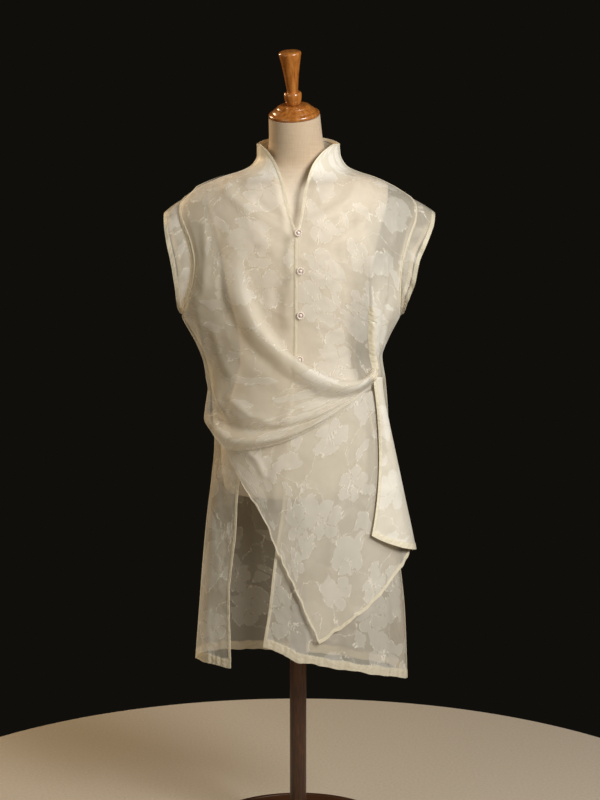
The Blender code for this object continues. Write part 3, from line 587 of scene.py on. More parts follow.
def crease_rise(across, up, creases):
    """Creases drawn on the front as lines of (x, z), with their width and rise."""
    total = np.zeros(np.broadcast(across, up).shape)
    for line, width, rise in creases:
        spans = [math.dist(a, b) for a, b in zip(line, line[1:])]
        nearest = np.full(total.shape, 9.0)
        share = np.zeros(total.shape)
        passed = 0.0
        for (x0, z0), (x1, z1), span in zip(line, line[1:], spans):
            t = ((across - x0) * (x1 - x0) + (up - z0) * (z1 - z0)) / span ** 2
            held = np.clip(t, 0.0, 1.0)
            away = np.hypot(across - blend(x0, x1, held), up - blend(z0, z1, held))
            closer = away < nearest
            nearest = np.where(closer, away, nearest)
            share = np.where(closer, (passed + held * span) / sum(spans), share)
            passed += span
        ends = ease(-0.02, 0.22, share) * (1.0 - ease(0.75, 1.02, share))
        total += rise * ends * np.exp(-(nearest / width) ** 2)
    return total


def step_lengths(places, axis):
    """Distance run along the rows or up the columns of a grid, from its first line."""
    steps = np.linalg.norm(np.diff(places, axis=axis), axis=-1)
    shape = list(places.shape[:2])
    shape[axis] = 1
    return np.concatenate([np.zeros(shape), np.cumsum(steps, axis=axis)], axis=axis)


def make_cloth(name, places, cut, band, plies, flip=False, offset=1.0):
    """A cloth piece over a grid of places, with its flat map, its bands, its plies and its thickness.

    cut: distances along and up the flat cloth.  band: distance from a turned edge, in its widths.
    """
    piece, order = cloth_grid(name, places)
    mesh = piece.data
    if flip:
        mesh.flip_normals()
    layer = mesh.uv_layers.active
    layer.name = "cut"
    corners = np.zeros(len(mesh.loops), int)
    mesh.loops.foreach_get("vertex_index", corners)
    flat_map = np.stack(cut, axis=-1).reshape(-1, 2)[order]
    layer.data.foreach_set("uv", flat_map[corners].astype(np.float32).ravel())
    for kind, values in (("band", band), ("plies", plies + 0.0 * band)):
        attribute = mesh.attributes.new(kind, "FLOAT", "POINT")
        attribute.data.foreach_set("value", values.reshape(-1)[order].astype(np.float32))
    for side in organza:
        mesh.materials.append(side)
    doubled = piece.vertex_groups.new(name="doubled")
    level = np.rint(10.0 * (1.0 - ease(0.9, 1.1, band.reshape(-1)[order]))).astype(int)
    for tenth in range(11):
        doubled.add(np.nonzero(level == tenth)[0].tolist(), tenth / 10.0, "REPLACE")
    merge_doubles(piece)
    thicken = piece.modifiers.new("thickness", "SOLIDIFY")
    thicken.thickness = DOUBLED_THICK
    thicken.vertex_group = "doubled"
    thicken.thickness_vertex_group = CLOTH_THICK / DOUBLED_THICK
    thicken.offset = offset
    thicken.use_even_offset = False
    thicken.material_offset = 1
    bpy.ops.object.modifier_apply(modifier="thickness")
    bpy.ops.object.shade_smooth_by_angle(angle=math.radians(60.0))
    return piece


def sew_panel(name, edges, columns, bands, corner, seed, lift=None, from_end=False, folded=None):
    """A body panel between two edges, from hem to collar.

    bands: widths at start, end, hem and collar.  folded: plies and pressed edge of a tuck.
    """
    start, end = (edge_on_rows(edge) for edge in edges)
    angle = blend(start, end, np.linspace(0.0, 1.0, columns + 1)[None, :])
    height = row_heights(angle)
    smooth = body_place(angle, height)
    across = step_lengths(smooth, 1)
    to_end = across[:, -1:] - across
    up = step_lengths(smooth, 0)
    sewn = np.ones(angle.shape)
    for width, gap in zip(bands, (across, to_end)):
        if width == SEAM_BAND:
            sewn *= ease(0.0, HELD_FLAT, gap)
    ripple = np.sin(across / 0.0031 + 1.7 * np.sin(across / 0.0127 + seed))
    ripple = ripple * np.sin(across / 0.0083 + 2.0 * seed)
    reach, rise = PUCKER
    drawn_up = rise * ripple * (1.0 - ease(0.2 * reach, reach, up))
    drawn_up = drawn_up + rise * (1.0 - ease(STITCHING, reach, up))
    extra = sewn * (crinkle(smooth, seed, *CRINKLES) + drawn_up)
    if lift:
        extra += sewn * lift(angle, height, smooth)
    height = height + (1.0 - ease(0.010, 0.060, up)) * crinkle(smooth, seed + 2, HEM_FLUTES)
    places = body_place(angle, height, OFF_FORM + extra)
    cut = ((-to_end if from_end else across) + corner[0], up + corner[1])
    gaps = (across, to_end, up, up[-1:] - up)
    band = np.min([gap / width for gap, width in zip(gaps, bands)], axis=0)
    tucked, edge = folded(smooth) if folded else (0.0, band)
    collar = ease(1.385, 1.415, height) * (1.0 - ease(0.085, 0.125, np.abs(smooth[..., 0])))
    return make_cloth(name, places, cut, np.minimum(band, edge), 1.0 + COLLAR_PLIES * collar + tucked)


# Jacquard organza of silk and polyester: a crisp sheer ground of plain weave with
# satin flowers and leaves woven in, whose cut threads stand up as a bright fringe.
# Threads are 0.12 mm apart and are drawn 1.4 mm apart so that they show.  The
# flowers are 60 to 100 mm across and the leaves 30 to 90 mm long, as such cloth has.
# Cover is how much of the cloth is thread: ground a third, flowers nearly a half.
def jacquard_organza():
    made, add = start_material("jacquard_organza")
    cut = add("UVMap", uv_map="cut")
    plane = {"noise_dimensions": "2D"}
    soft = {"interpolation_type": "SMOOTHSTEP"}
    wander = add("TexNoise", {
        "Vector": cut, "Scale": 26.0, "Detail": 2.5, "Roughness": 0.6,
    }, "Color", **plane)
    centred = add("VectorMath.SUBTRACT", (wander, (0.5, 0.5, 0.5)))
    shifted = add("VectorMath.MULTIPLY_ADD", (centred, (0.030, 0.030, 0.0), cut))
    ragged = add("TexNoise", {"Vector": cut, "Scale": 210.0, "Detail": 2.0, "Roughness": 0.7}, **plane)
    loose_ends = add("Mapping", {"Vector": shifted, "Scale": (260.0, 55.0, 1.0)})
    loose_ends = add("TexNoise", {"Vector": loose_ends, "Scale": 1.0, "Detail": 1.0}, **plane)

    def scattered(cell, offset):
        """The place inside a scattered cell, turned at random, and the cell's random numbers."""
        moved = add("VectorMath.ADD", (shifted, (*offset, 0.0)))
        middle = add("TexVoronoi", {
            "Vector": moved, "Scale": 1.0 / cell, "Randomness": 0.85,
        }, "Position", voronoi_dimensions="2D")
        drawn = add("SeparateColor", (middle.node.outputs["Color"],)).node.outputs
        turned = add("VectorRotate", {
            "Vector": add("VectorMath.SUBTRACT", (moved, middle)),
            "Angle": add("Math.MULTIPLY", (drawn[0], 2.0 * math.pi)),
        }, rotation_type="Z_AXIS")
        sides = add("SeparateXYZ", (turned,)).node.outputs
        return sides[0], sides[1], drawn[1], drawn[2]

    def kept_in(depth, chance, left_out):
        """The distance inside a figure, or a place well outside it where that cell has none."""
        return add("Math.MULTIPLY_ADD", (add("Math.LESS_THAN", (chance, left_out)), -0.05, depth))

    def leaves(cell, offset, half_long, half_wide, left_out):
        """Distance inside a pointed leaf, one to a cell."""
        along, across, size, chance = scattered(cell, offset)
        scale = add("Math.MULTIPLY_ADD", (size, 0.5, 0.75))
        share = add("Math.DIVIDE", (along, add("Math.MULTIPLY", (scale, half_long))))
        inside = add("Math.MULTIPLY_ADD", (share, add("Math.MULTIPLY", (share, -1.0)), 1.0))
        outline = add("Math.MULTIPLY", (inside, add("Math.MULTIPLY_ADD", (share, 0.35, 1.0))))
        outline = add("Math.MULTIPLY", (outline, add("Math.MULTIPLY", (scale, half_wide))))
        depth = add("Math.SUBTRACT", (outline, add("Math.ABSOLUTE", (across,))))
        return kept_in(depth, chance, left_out)

    def flowers(cell, offset, radius, left_out):
        """Distance inside a flower of five parted petals, one to a cell."""
        along, across, size, chance = scattered(cell, offset)
        out_from = add("Math.MULTIPLY_ADD", (along, along, add("Math.MULTIPLY", (across, across))))
        out_from = add("Math.SQRT", (out_from,))
        turn = add("Math.MULTIPLY", (add("Math.ARCTAN2", (across, along)), 2.5))
        lobe = add("Math.ABSOLUTE", (add("Math.COSINE", (turn,)),))
        petal = add("Math.MULTIPLY_ADD", (add("Math.POWER", (lobe, 0.6)), 0.44, 0.56))
        reach = add("Math.MULTIPLY_ADD", (size, 0.45 * radius, 0.72 * radius))
        depth = add("Math.SUBTRACT", (add("Math.MULTIPLY", (petal, reach)), out_from))
        parted = add("Math.MULTIPLY_ADD", (add("Math.MULTIPLY", (lobe, out_from)), 0.4, -0.0009))
        depth = add("Math.MINIMUM", (depth, parted))
        depth = add("Math.MAXIMUM", (depth, add("Math.SUBTRACT", (0.0045, out_from))))
        return kept_in(depth, chance, left_out)

    vines = add("TexNoise", {"Vector": shifted, "Scale": 11.0, "Detail": 0.0}, **plane)
    vines = add("Math.ABSOLUTE", (add("Math.SUBTRACT", (vines, 0.5)),))
    depth = add("Math.MULTIPLY_ADD", (vines, -0.16, 0.0006))
    for figures in (
        flowers(0.112, (0.0, 0.0), 0.042, 0.14),
        leaves(0.064, (0.31, 0.17), 0.021, 0.0090, 0.45),
        leaves(0.092, (0.83, 0.59), 0.036, 0.0140, 0.45),
    ):
        depth = add("Math.MAXIMUM", (depth, figures))
    depth = add("Math.ADD", (depth, add("Math.MULTIPLY_ADD", (ragged, 0.0070, -0.0035))))
    motif = add("MapRange", {"Value": depth, "From Min": -0.0012, "From Max": 0.0012}, **soft)
    threads = add("MapRange", {
        "Value": add("Math.ABSOLUTE", (depth,)), "From Min": 0.0006, "From Max": 0.0030,
        "To Min": 1.0, "To Max": 0.0,
    }, **soft)
    tufts = add("MapRange", {
        "Value": loose_ends, "From Min": 0.44, "From Max": 0.62, "To Min": 0.10,
    }, **soft)
    uncut = add("MapRange", {
        "Value": add("SeparateColor", (wander,)), "From Min": 0.44, "From Max": 0.60, "To Min": 0.12,
    }, **soft)
    threads = add("Math.MULTIPLY", (add("Math.MULTIPLY", (threads, tufts)), uncut))
    band = add("Attribute", out="Fac", attribute_name="band")
    doubled = add("MapRange", {
        "Value": add("Math.MULTIPLY_ADD", (ragged, 0.30, band)), "From Min": 1.08, "From Max": 1.20,
        "To Min": 1.0, "To Max": 0.0,
    })
    colour = add("Mix", {
        "Factor": motif, 6: linear("#F1EBDC"), 7: linear("#F6F2E8"),
    }, 2, data_type="RGBA")
    colour = add("Mix", {"Factor": doubled, 6: colour, 7: linear("#F3EBD4")}, 2, data_type="RGBA")

    run = {"Vector": cut, "Scale": 2.0 * math.pi / (20.0 * 0.0014), "Distortion": 0.5}
    weave = add("Math.ADD", [add("TexWave", run, bands_direction=way) for way in "YX"])
    cover = add("Mix", {
        "Factor": motif, 2: add("Math.MULTIPLY_ADD", (weave, 0.05, 0.30)), 3: 0.46,
    }, data_type="FLOAT")
    cover = add("Math.MULTIPLY_ADD", (threads, 0.36, cover))
    cover = add("Mix", {"Factor": doubled, 2: cover, 3: 0.66}, data_type="FLOAT")
    plies = add("Attribute", out="Fac", attribute_name="plies")
    open_share = add("Math.POWER", (add("Math.SUBTRACT", (1.0, cover)), plies))

    stitch_run = add("TexChecker", {
        "Vector": cut, "Scale": 1.0 / 0.0030, "Color1": linear("#FFFFFF"), "Color2": linear("#000000"),
    }, "Fac")
    stitch_line = add("Math.ABSOLUTE", (add("Math.SUBTRACT", (band, 0.90)),))
    stitch_line = add("Math.LESS_THAN", (stitch_line, 0.045))
    puckers = add("TexNoise", {"Vector": cut, "Scale": 130.0, "Detail": 1.0}, **plane)
    height = add("Math.MULTIPLY", (add("Math.MULTIPLY", (stitch_line, stitch_run)), -0.7))
    for high, share in (
        (weave, 0.06), (add("Math.MULTIPLY", (puckers, doubled)), 4.5), (motif, 0.28), (threads, 0.65),
    ):
        height = add("Math.MULTIPLY_ADD", (high, share, height))
    relief = add("Bump", {"Height": height, "Strength": 0.55, "Distance": 0.0006})
    add(SURFACE, {
        "Base Color": colour, "Roughness": 0.46, "Sheen Weight": 0.30, "Sheen Roughness": 0.35,
        "Specular IOR Level": 0.35, "Alpha": add("Math.SUBTRACT", (1.0, open_share)), "Normal": relief,
    })
    return made


# The wrong side of the same cloth, which adds only a thin veil of long threads.
def organza_wrong_side():
    made, add = start_material("organza_wrong_side")
    cut = add("UVMap", uv_map="cut")
    floats = add("Mapping", {"Vector": cut, "Scale": (60.0, 700.0, 1.0)})
    floats = add("TexNoise", {
        "Vector": floats, "Scale": 1.0, "Detail": 0.0,
    }, noise_dimensions="2D")
    colour = add("ValToRGB", (floats,), stops=((0.3, "#E6DBC4"), (0.7, "#F3E9D6")))
    cover = add("MapRange", {
        "Value": add("Attribute", out="Fac", attribute_name="band"), "From Min": 0.97,
        "From Max": 1.03, "To Min": 0.45, "To Max": 0.08,
    })
    plies = add("Attribute", out="Fac", attribute_name="plies")
    add(SURFACE, {
        "Base Color": colour, "Roughness": 0.50, "Sheen Weight": 0.20, "Sheen Roughness": 0.35,
        "Specular IOR Level": 0.30, "Alpha": add("Math.MULTIPLY", (cover, plies), use_clamp=True),
    })
    return made


organza = (jacquard_organza(), organza_wrong_side())
back = sew_panel(
    "back_cloth",
    (lambda height: 180.0 - armhole_angle(height) + SEAM_ANGLE,
     lambda height: 180.0 + armhole_angle(height) - SEAM_ANGLE),
    150, (SEAM_BAND, SEAM_BAND, HEM_BAND, COLLAR_BAND), (3.0, 1.0), 1,
)
rides(back, "back")

# ---------------------------------------------------------------- fronts
# Two fronts of the same organza, the right lapped over the left and buttoned at
# the middle.  Each has half of the collar grown on and turned edges.
RIGHT_EDGE = table(
    "height across",
    (0.380, -0.136), (0.540, -0.140), (0.670, -0.127), (0.775, -0.120),
    (0.830, -0.104), (0.900, -0.062), (0.960, -0.022), (1.010, -0.003),
    (1.100, -0.001), (1.270, -0.001), (1.293, -0.004), (1.315, -0.011),
    (1.353, -0.021), (1.387, -0.029), (1.422, -0.042), (1.449, -0.060),
    (1.464, -0.077),
)
LEFT_EDGE = table(
    "height across",
    (0.400, -0.076), (0.447, -0.071), (0.527, -0.059), (0.636, -0.047),
    (0.753, -0.030), (0.865, -0.022), (1.000, -0.013), (1.260, -0.013),
    (1.297, -0.001), (1.336, 0.007), (1.370, 0.012), (1.396, 0.019),
    (1.421, 0.028), (1.442, 0.043), (1.459, 0.062), (1.468, 0.077),
)
LAP_LIFT = 0.0028
RIGHT_CREASES = (
    (((-0.014, 1.300), (-0.050, 1.326), (-0.096, 1.360)), 0.0100, -0.0046),
    (((-0.014, 1.288), (-0.056, 1.306), (-0.105, 1.330)), 0.0080, 0.0026),
    (((-0.012, 1.280), (-0.050, 1.276), (-0.090, 1.262)), 0.0050, 0.0014),
    (((-0.012, 1.205), (-0.050, 1.190), (-0.090, 1.170)), 0.0060, 0.0014),
    (((-0.012, 1.122), (-0.040, 1.130), (-0.070, 1.150)), 0.0060, 0.0013),
    (((-0.045, 1.190), (-0.040, 1.130), (-0.028, 1.075)), 0.0120, -0.0030),
    (((-0.200, 0.740), (-0.165, 0.640), (-0.160, 0.520)), 0.0120, 0.0020),
)
LEFT_CREASES = (
    (((0.020, 1.286), (0.060, 1.304), (0.110, 1.335)), 0.0070, 0.0018),
    (((0.016, 1.282), (0.060, 1.272), (0.120, 1.275)), 0.0060, 0.0012),
    (((0.160, 1.378), (0.172, 1.335), (0.180, 1.270)), 0.0075, 0.0024),
    (((0.190, 1.372), (0.196, 1.320), (0.194, 1.240)), 0.0060, 0.0022),
    (((0.176, 1.245), (0.177, 1.195), (0.174, 1.140)), 0.0042, 0.0045),
    (((0.018, 1.208), (0.060, 1.196), (0.100, 1.205)), 0.0060, 0.0013),
    (((0.018, 1.118), (0.060, 1.100), (0.105, 1.085)), 0.0070, 0.0015),
    (((0.018, 1.030), (0.060, 1.040), (0.110, 1.055)), 0.0060, 0.0013),
    (((0.180, 1.150), (0.176, 1.090), (0.168, 1.030)), 0.0060, 0.0026),
    (((0.090, 0.560), (0.100, 0.470), (0.098, 0.390)), 0.0120, 0.0026),
    (((0.178, 0.560), (0.182, 0.470), (0.180, 0.370)), 0.0100, 0.0026),
)


def lap_lift(angle, height):
    near = 1.0 - ease(4.0, 20.0, np.abs(angle))
    return LAP_LIFT * near * ease(0.900, 0.955, height) * (1.0 - ease(1.295, 1.345, height))


def right_lift(angle, height, smooth):
    return lap_lift(angle, height) + crease_rise(smooth[..., 0], smooth[..., 2], RIGHT_CREASES)


TUCK_EDGE = 0.0050       # half width of the pressed edge of the tuck
TUCK_RISE = 0.0062
TUCK_PLIES = 2.4


def past_tuck(across, up):
    """How far a place is past the line from which the left side is turned over to the seam."""
    return across - np.interp(
        up, (1.000, 1.038, 1.067, 1.156, 1.240), (0.1535, 0.1455, 0.1425, 0.1415, 0.138),
    )


def side_tuck(across, up):
    """Share of the turn at each place: 0 before the line, 1 over it, none above the waist."""
    return ease(0.0, 0.0055, past_tuck(across, up)) * ease(0.975, 1.010, up) * (1.0 - ease(1.12, 1.25, up))


def tuck_cloth(smooth):
    """Plies that the turn adds, and the distance from its pressed edge in widths of that edge."""
    across, up = smooth[..., 0], smooth[..., 2]
    pressed = ease(0.995, 1.012, up) * (1.0 - ease(1.130, 1.200, up))
    edge = np.abs(past_tuck(across, up) - 0.0035) / TUCK_EDGE + 9.0 * (1.0 - pressed)
    return TUCK_PLIES * side_tuck(across + 0.003, up), edge


def left_lift(angle, height, smooth):
    under_lap = ease(-2.0, 5.0, angle) + (1.0 - ease(0.900, 0.955, height)) + ease(1.295, 1.345, height)
    creases = crease_rise(smooth[..., 0], smooth[..., 2], LEFT_CREASES)
    tuck = TUCK_RISE * side_tuck(smooth[..., 0], smooth[..., 2]) * (1.0 - ease(0.152, 0.180, smooth[..., 0]))
    return np.clip(under_lap, 0.0, 1.0) * (creases + tuck)


front_right = sew_panel(
    "front_right_cloth",
    (lambda height: -(armhole_angle(height) - SEAM_ANGLE),
     lambda height: angle_at(from_table(RIGHT_EDGE, "across", height), height)),
    118, (SEAM_BAND, EDGE_BAND, HEM_BAND, COLLAR_BAND), (1.0, 0.4), 5, right_lift, from_end=True,
)
rides(front_right, "front_right")
front_left = sew_panel(
    "front_left_cloth",
    (lambda height: angle_at(from_table(LEFT_EDGE, "across", height), height),
     lambda height: armhole_angle(height) - SEAM_ANGLE),
    136, (EDGE_BAND, SEAM_BAND, HEM_BAND, COLLAR_BAND), (2.0, 0.7), 9, left_lift, folded=tuck_cloth,
)
rides(front_left, "front_left")

# ---------------------------------------------------------------- sleeves
# Short cap sleeves, each one strip set into the armhole all round and finished
# with a narrow turned hem.
SLEEVE = table(
    "height right left",
    (1.110, 0.2400, 0.2160), (1.140, 0.2460, 0.2210), (1.180, 0.2490, 0.2350),
    (1.228, 0.2560, 0.2440), (1.264, 0.2640, 0.2590), (1.301, 0.2705, 0.2740),
    (1.328, 0.2735, 0.2800),
)
SLEEVE_TOP = 1.325
SLEEVE_LOW = 1.1175
SLEEVE_DEPTH = 0.082
SLEEVE_CROWN = 0.002     # rise of its middle over the shoulder
SLEEVE_SWELL = 0.004     # and outwards at front and back
SLEEVE_WAVES = ((0.0016, 0.0125), (0.0011, 0.0061))    # rise and run of its uneven hem
SLEEVE_BAND = 0.009


def set_in_sleeve(name, side, reach_name, corner):
    """A sleeve strip round the armhole on one side (+1 left, -1 right), from its seam to its hem."""
    heights = upper_levels[(upper_levels >= UNDERARM - 1e-6) & (upper_levels <= SHOULDER_POINT + 1e-6)]
    shares = np.linspace(0.0, 1.0, 19)
    stations = np.concatenate([heights[::-1], heights[1:]])
    behind = np.arange(len(stations)) >= len(heights)
    up = 2.0 * (stations - UNDERARM) / (SHOULDER_POINT - UNDERARM) - 1.0
    forward = np.sqrt(np.clip(1.0 - up * up, 0.0, 1.0)) * np.where(behind, -1.0, 1.0)
    angle = np.minimum(90.0, armhole_angle(stations) + 2.0 * SEAM_ANGLE)
    seam = body_place(side * np.where(behind, 180.0 - angle, angle), stations)
    hem_level = 0.5 * (SLEEVE_LOW + SLEEVE_TOP) + 0.5 * (SLEEVE_TOP - SLEEVE_LOW) * up
    hem_reach = side * from_table(SLEEVE, reach_name, hem_level)
    hem = np.stack([hem_reach, -SLEEVE_DEPTH * forward, hem_level], axis=-1)
    reach = hem - seam
    seam = seam + SEAM * reach / np.linalg.norm(reach, axis=-1, keepdims=True)
    seam[:, 2] += 2.0 * SEAM * np.clip(-up, 0.0, 1.0) ** 4
    places = blend(seam[:, None, :], hem[:, None, :], shares[None, :, None])
    bulge = np.sin(math.pi * shares)[None, :]
    places[..., 2] += SLEEVE_CROWN * bulge * np.clip(up, 0.0, 1.0)[:, None]
    places[..., 1] -= SLEEVE_SWELL * bulge * forward[:, None]
    loose = ease(0.05, 0.6, shares)[None, :]
    girth = step_lengths(places, 0)
    (slow, slow_run), (quick, quick_run) = SLEEVE_WAVES
    wave = slow * np.sin(girth / slow_run + 0.8) + quick * np.sin(girth / quick_run + 2.0 * side)
    inward = (1.0 - np.abs(up) ** 6)[:, None]
    places[..., 1] -= loose * inward * wave * forward[:, None]
    places[..., 2] += loose * inward * wave * up[:, None]
    places[-1] = places[0]
    along = step_lengths(places, 1)
    band = np.minimum(along / SEAM_BAND, (along[:, -1:] - along) / SLEEVE_BAND)
    cut = (girth + corner[0], along + corner[1])
    piece = make_cloth(name, places, cut, band, 1.0, flip=side > 0.0, offset=-1.0)
    merge_doubles(piece, CLOSED_WITHIN)
    return piece


sleeve_right = set_in_sleeve("sleeve_right_cloth", -1.0, "right", (4.0, 2.0))
rides(sleeve_right, "sleeve_right")
sleeve_left = set_in_sleeve("sleeve_left_cloth", 1.0, "left", (5.0, 2.3))
rides(sleeve_left, "sleeve_left")

# ---------------------------------------------------------------- overlay
# A second layer is sewn in at the right shoulder, armhole and side, and swings
# across the body to the left waist.  Its upper edge rolls over and its lower
# edge is turned under.
COWL = table(
    "along upper_x upper_z lower_x lower_z billow",
    (0.00, -0.142, 1.4003, -0.204, 1.3725, 0.0),
    (0.07, -0.138, 1.345, -0.240, 1.325, 0.2),
    (0.15, -0.133, 1.285, -0.240, 1.265, 0.3),
    (0.23, -0.123, 1.226, -0.240, 1.193, 0.4),
    (0.31, -0.107, 1.164, -0.233, 1.107, 0.5),
    (0.38, -0.086, 1.117, -0.233, 1.035, 0.7),
    (0.45, -0.059, 1.078, -0.233, 0.965, 0.9),
    (0.53, -0.026, 1.046, -0.176, 0.890, 1.0),
    (0.61, 0.010, 1.019, -0.128, 0.852, 1.0),
    (0.70, 0.048, 0.998, -0.050, 0.868, 1.0),
    (0.79, 0.084, 0.985, 0.025, 0.901, 1.0),
    (0.88, 0.114, 0.984, 0.080, 0.933, 0.8),
    (0.95, 0.134, 0.993, 0.118, 0.957, 0.5),
    (1.00, 0.144, 1.003, 0.143, 0.974, 0.3),
)
# Folds that run its length: place across it, start along it, width and rise.
COWL_FOLDS = (
    (0.62, 0.42, 0.12, 0.0070), (0.90, 0.42, 0.10, 0.0150),
    (0.32, 0.42, 0.10, -0.0024), (0.76, 0.46, 0.05, -0.0030),
)
COWL_CREASES = (
    (((-0.181, 0.990), (-0.166, 0.950), (-0.146, 0.905), (-0.112, 0.876)), 0.0080, -0.0060),
    (((-0.168, 0.985), (-0.150, 0.940), (-0.128, 0.900)), 0.0080, 0.0040),
    (((-0.186, 1.330), (-0.180, 1.240), (-0.188, 1.150)), 0.0090, 0.0034),
    (((-0.160, 1.300), (-0.152, 1.220), (-0.150, 1.140)), 0.0080, -0.0026),
    (((-0.205, 1.180), (-0.190, 1.100), (-0.175, 1.020)), 0.0110, 0.0034),
    (((-0.172, 1.110), (-0.150, 1.040), (-0.120, 0.985)), 0.0100, 0.0030),
    (((-0.140, 0.965), (-0.090, 0.925), (-0.030, 0.905)), 0.0080, 0.0026),
)
COWL_SEAT = 0.0026       # off the body, over the fronts
COWL_TURN = 0.0017       # more where a seam's turning lies under it
COWL_LIFT = 0.0050       # more where it hangs slack
COWL_TUCK = 0.0066       # level of the turned-under hem
COWL_ARM_INSET = 2.6     # degrees from the armhole, at its lower edge
COWL_TOP_INSET = 0.5
COWL_DROP = -0.003       # lowest place of the turned-under hem
COWL_RETURN = 0.011      # how far up it is turned
RIDGE_RISE = 0.0160      # of the soft ridge where the overlay turns away from the front
RIDGE_FLANK = 0.030      # how far its hollow side reaches over the right front
RIDGE_FALL = 0.034       # how far its other side takes to fall
VALLEY = 0.0035          # dip beyond that fall
ROLL_HALF = (0.0105, 0.0080)   # half width and half depth of the roll it becomes past the middle
ROLL_FACING = 0.016      # how far the rolled edge comes back behind
SIDE_SEAM_END = 0.47     # place along it where the side seam ends and the hem begins
UNDER_COLUMNS = 15       # grid lines of the turned-under hem
MEAN_RADIUS = 0.15       # of the body, for lengths round it
NO_EDGE = 9.0            # a band far from any turned edge


def sewn_side(along, across):
    """How firmly the overlay is held by its seam at the armhole and side."""
    return (1.0 - ease(0.44, 0.54, along)) * ease(0.80, 1.0, across)


def cowl_lift(along, across):
    held = sewn_side(along, across)
    lift = COWL_SEAT + COWL_LIFT * ease(0.0, 0.30, along) * (1.0 - held)
    lift = lift + COWL_TURN * (1.0 - ease(0.04, 0.14, along))
    lift = lift + COWL_TURN * ease(0.22, 0.28, along) * (1.0 - ease(0.36, 0.44, along)) * held
    billow = from_table(COWL, "billow", along)
    for place, start, width, rise in COWL_FOLDS:
        grow = ease(start - 0.12, start + 0.12, along) * (1.0 - 0.8 * ease(0.70, 0.92, along))
        lift = lift + rise * grow * billow * (1.0 - held) * np.exp(-((across - place) / width) ** 2)
    return lift


# Columns: facing -2..-1, under the roll -1..0, over it 0..1, the cloth 1..2, turned under 2..4.
along = np.linspace(0.0, 1.0, 171)[:, None] ** 1.15
spread = np.concatenate([
    np.linspace(-2.0, -1.0, 5)[:-1], np.linspace(-1.0, 0.0, 7)[:-1], np.linspace(0.0, 1.0, 9)[:-1],
    np.linspace(1.0, 2.0, 83), 2.0 + np.linspace(0.0, 2.0, UNDER_COLUMNS)[1:],
])[None, :]
upper_z = from_table(COWL, "upper_z", along)
lower_z = from_table(COWL, "lower_z", along)
upper = angle_at(from_table(COWL, "upper_x", along), upper_z)
lower = angle_at(from_table(COWL, "lower_x", along), lower_z)
upper = np.maximum(upper, -(armhole_angle(upper_z) - COWL_TOP_INSET))
lower = np.maximum(lower, -(armhole_angle(lower_z) - COWL_ARM_INSET))
width = np.hypot(MEAN_RADIUS * np.radians(upper - lower), upper_z - lower_z)
raised = ease(0.13, 0.36, along)
rolled = ease(0.44, 0.60, along)
tapered = 1.0 - 0.12 * ease(0.86, 1.0, along)
half_wide = ROLL_HALF[0] * tapered
half_deep = ROLL_HALF[1] * tapered
quarter = 0.5 * math.pi * np.clip(np.abs(spread), 0.0, 1.0)
cloth = np.clip(spread - 1.0, 0.0, 1.0)
flank = np.clip((1.0 - spread) / 3.0, 0.0, 1.0)
roll_away = ROLL_FACING * np.clip(-1.0 - spread, 0.0, 1.0) - half_wide * np.cos(quarter)
from_crest = width * cloth + blend(-RIDGE_FLANK * flank, roll_away, rolled) * (spread < 1.0)
across = from_crest / width
rolled_lift = COWL_SEAT + half_deep * (1.0 + np.sign(spread) * np.sin(quarter))
flank_lift = COWL_SEAT + RIDGE_RISE * raised * (1.0 - flank) ** 3 * (1.0 + 3.0 * flank)
crest_side = blend(flank_lift, rolled_lift, rolled)
valley = raised * VALLEY * np.exp(-((from_crest - RIDGE_FALL) / 0.016) ** 2)
falling = ease(0.0, RIDGE_FALL, from_crest * (spread > 1.0))
lift = blend(crest_side, cowl_lift(along, across) - valley, falling)
hem_rolled = ease(SIDE_SEAM_END, SIDE_SEAM_END + 0.10, along) * (1.0 - 0.6 * ease(0.85, 1.0, along))
under = np.clip(spread - 2.0, 0.0, 2.0)
drop = np.interp(under, (0.0, 0.5, 1.0, 2.0), (0.0, -0.0026, COWL_DROP, COWL_RETURN))
tucked = np.interp(under, (0.0, 1.0, 2.0), (0.0, 0.45, 1.0))
lift = blend(lift, COWL_TUCK, tucked * hem_rolled)
angle = blend(upper, lower, across)
height = blend(upper_z, lower_z, across) + drop * hem_rolled
smooth = body_place(angle, height)
free = ease(0.0, 0.12, along) * (1.0 - sewn_side(along, across)) * (1.0 - ease(0.94, 1.0, along))
free = free * (1.0 - np.clip(under, 0.0, 1.0)) * ease(-1.0, 1.0, spread)
lift = lift + free * crease_rise(smooth[..., 0], smooth[..., 2], COWL_CREASES)
lift = lift + free * crinkle(smooth, 21, (0.040, 0.0012), (0.016, 0.0004))
places = body_place(angle, height, lift)
run = step_lengths(places, 0)
wide = step_lengths(places, 1)
to_hem = np.abs(wide[:, -UNDER_COLUMNS:1 - UNDER_COLUMNS] - wide)
band = np.minimum(NO_EDGE, run / SEAM_BAND)
band = np.minimum(band, np.where(along < SIDE_SEAM_END, to_hem / SEAM_BAND, NO_EDGE))
# Over the right front its edge is let in so finely that it fades out, and the ridge is seen
# through more cloth than the rest.
let_in = np.maximum(
    (1.0 - ease(0.10, 0.34, along)) * (1.0 - ease(0.0, 0.045, from_crest)),
    (1.0 - rolled) * (1.0 - ease(-0.95 * RIDGE_FLANK, -0.25 * RIDGE_FLANK, from_crest)),
)
gathered = 1.1 * raised * np.exp(-(from_crest / 0.011) ** 2)
plies = (1.0 - let_in) * (1.0 + gathered)
overlay = make_cloth("overlay_cloth", places, (run + 6.0, wide + 3.0), band, plies)
rides(overlay, "drape_cowl")

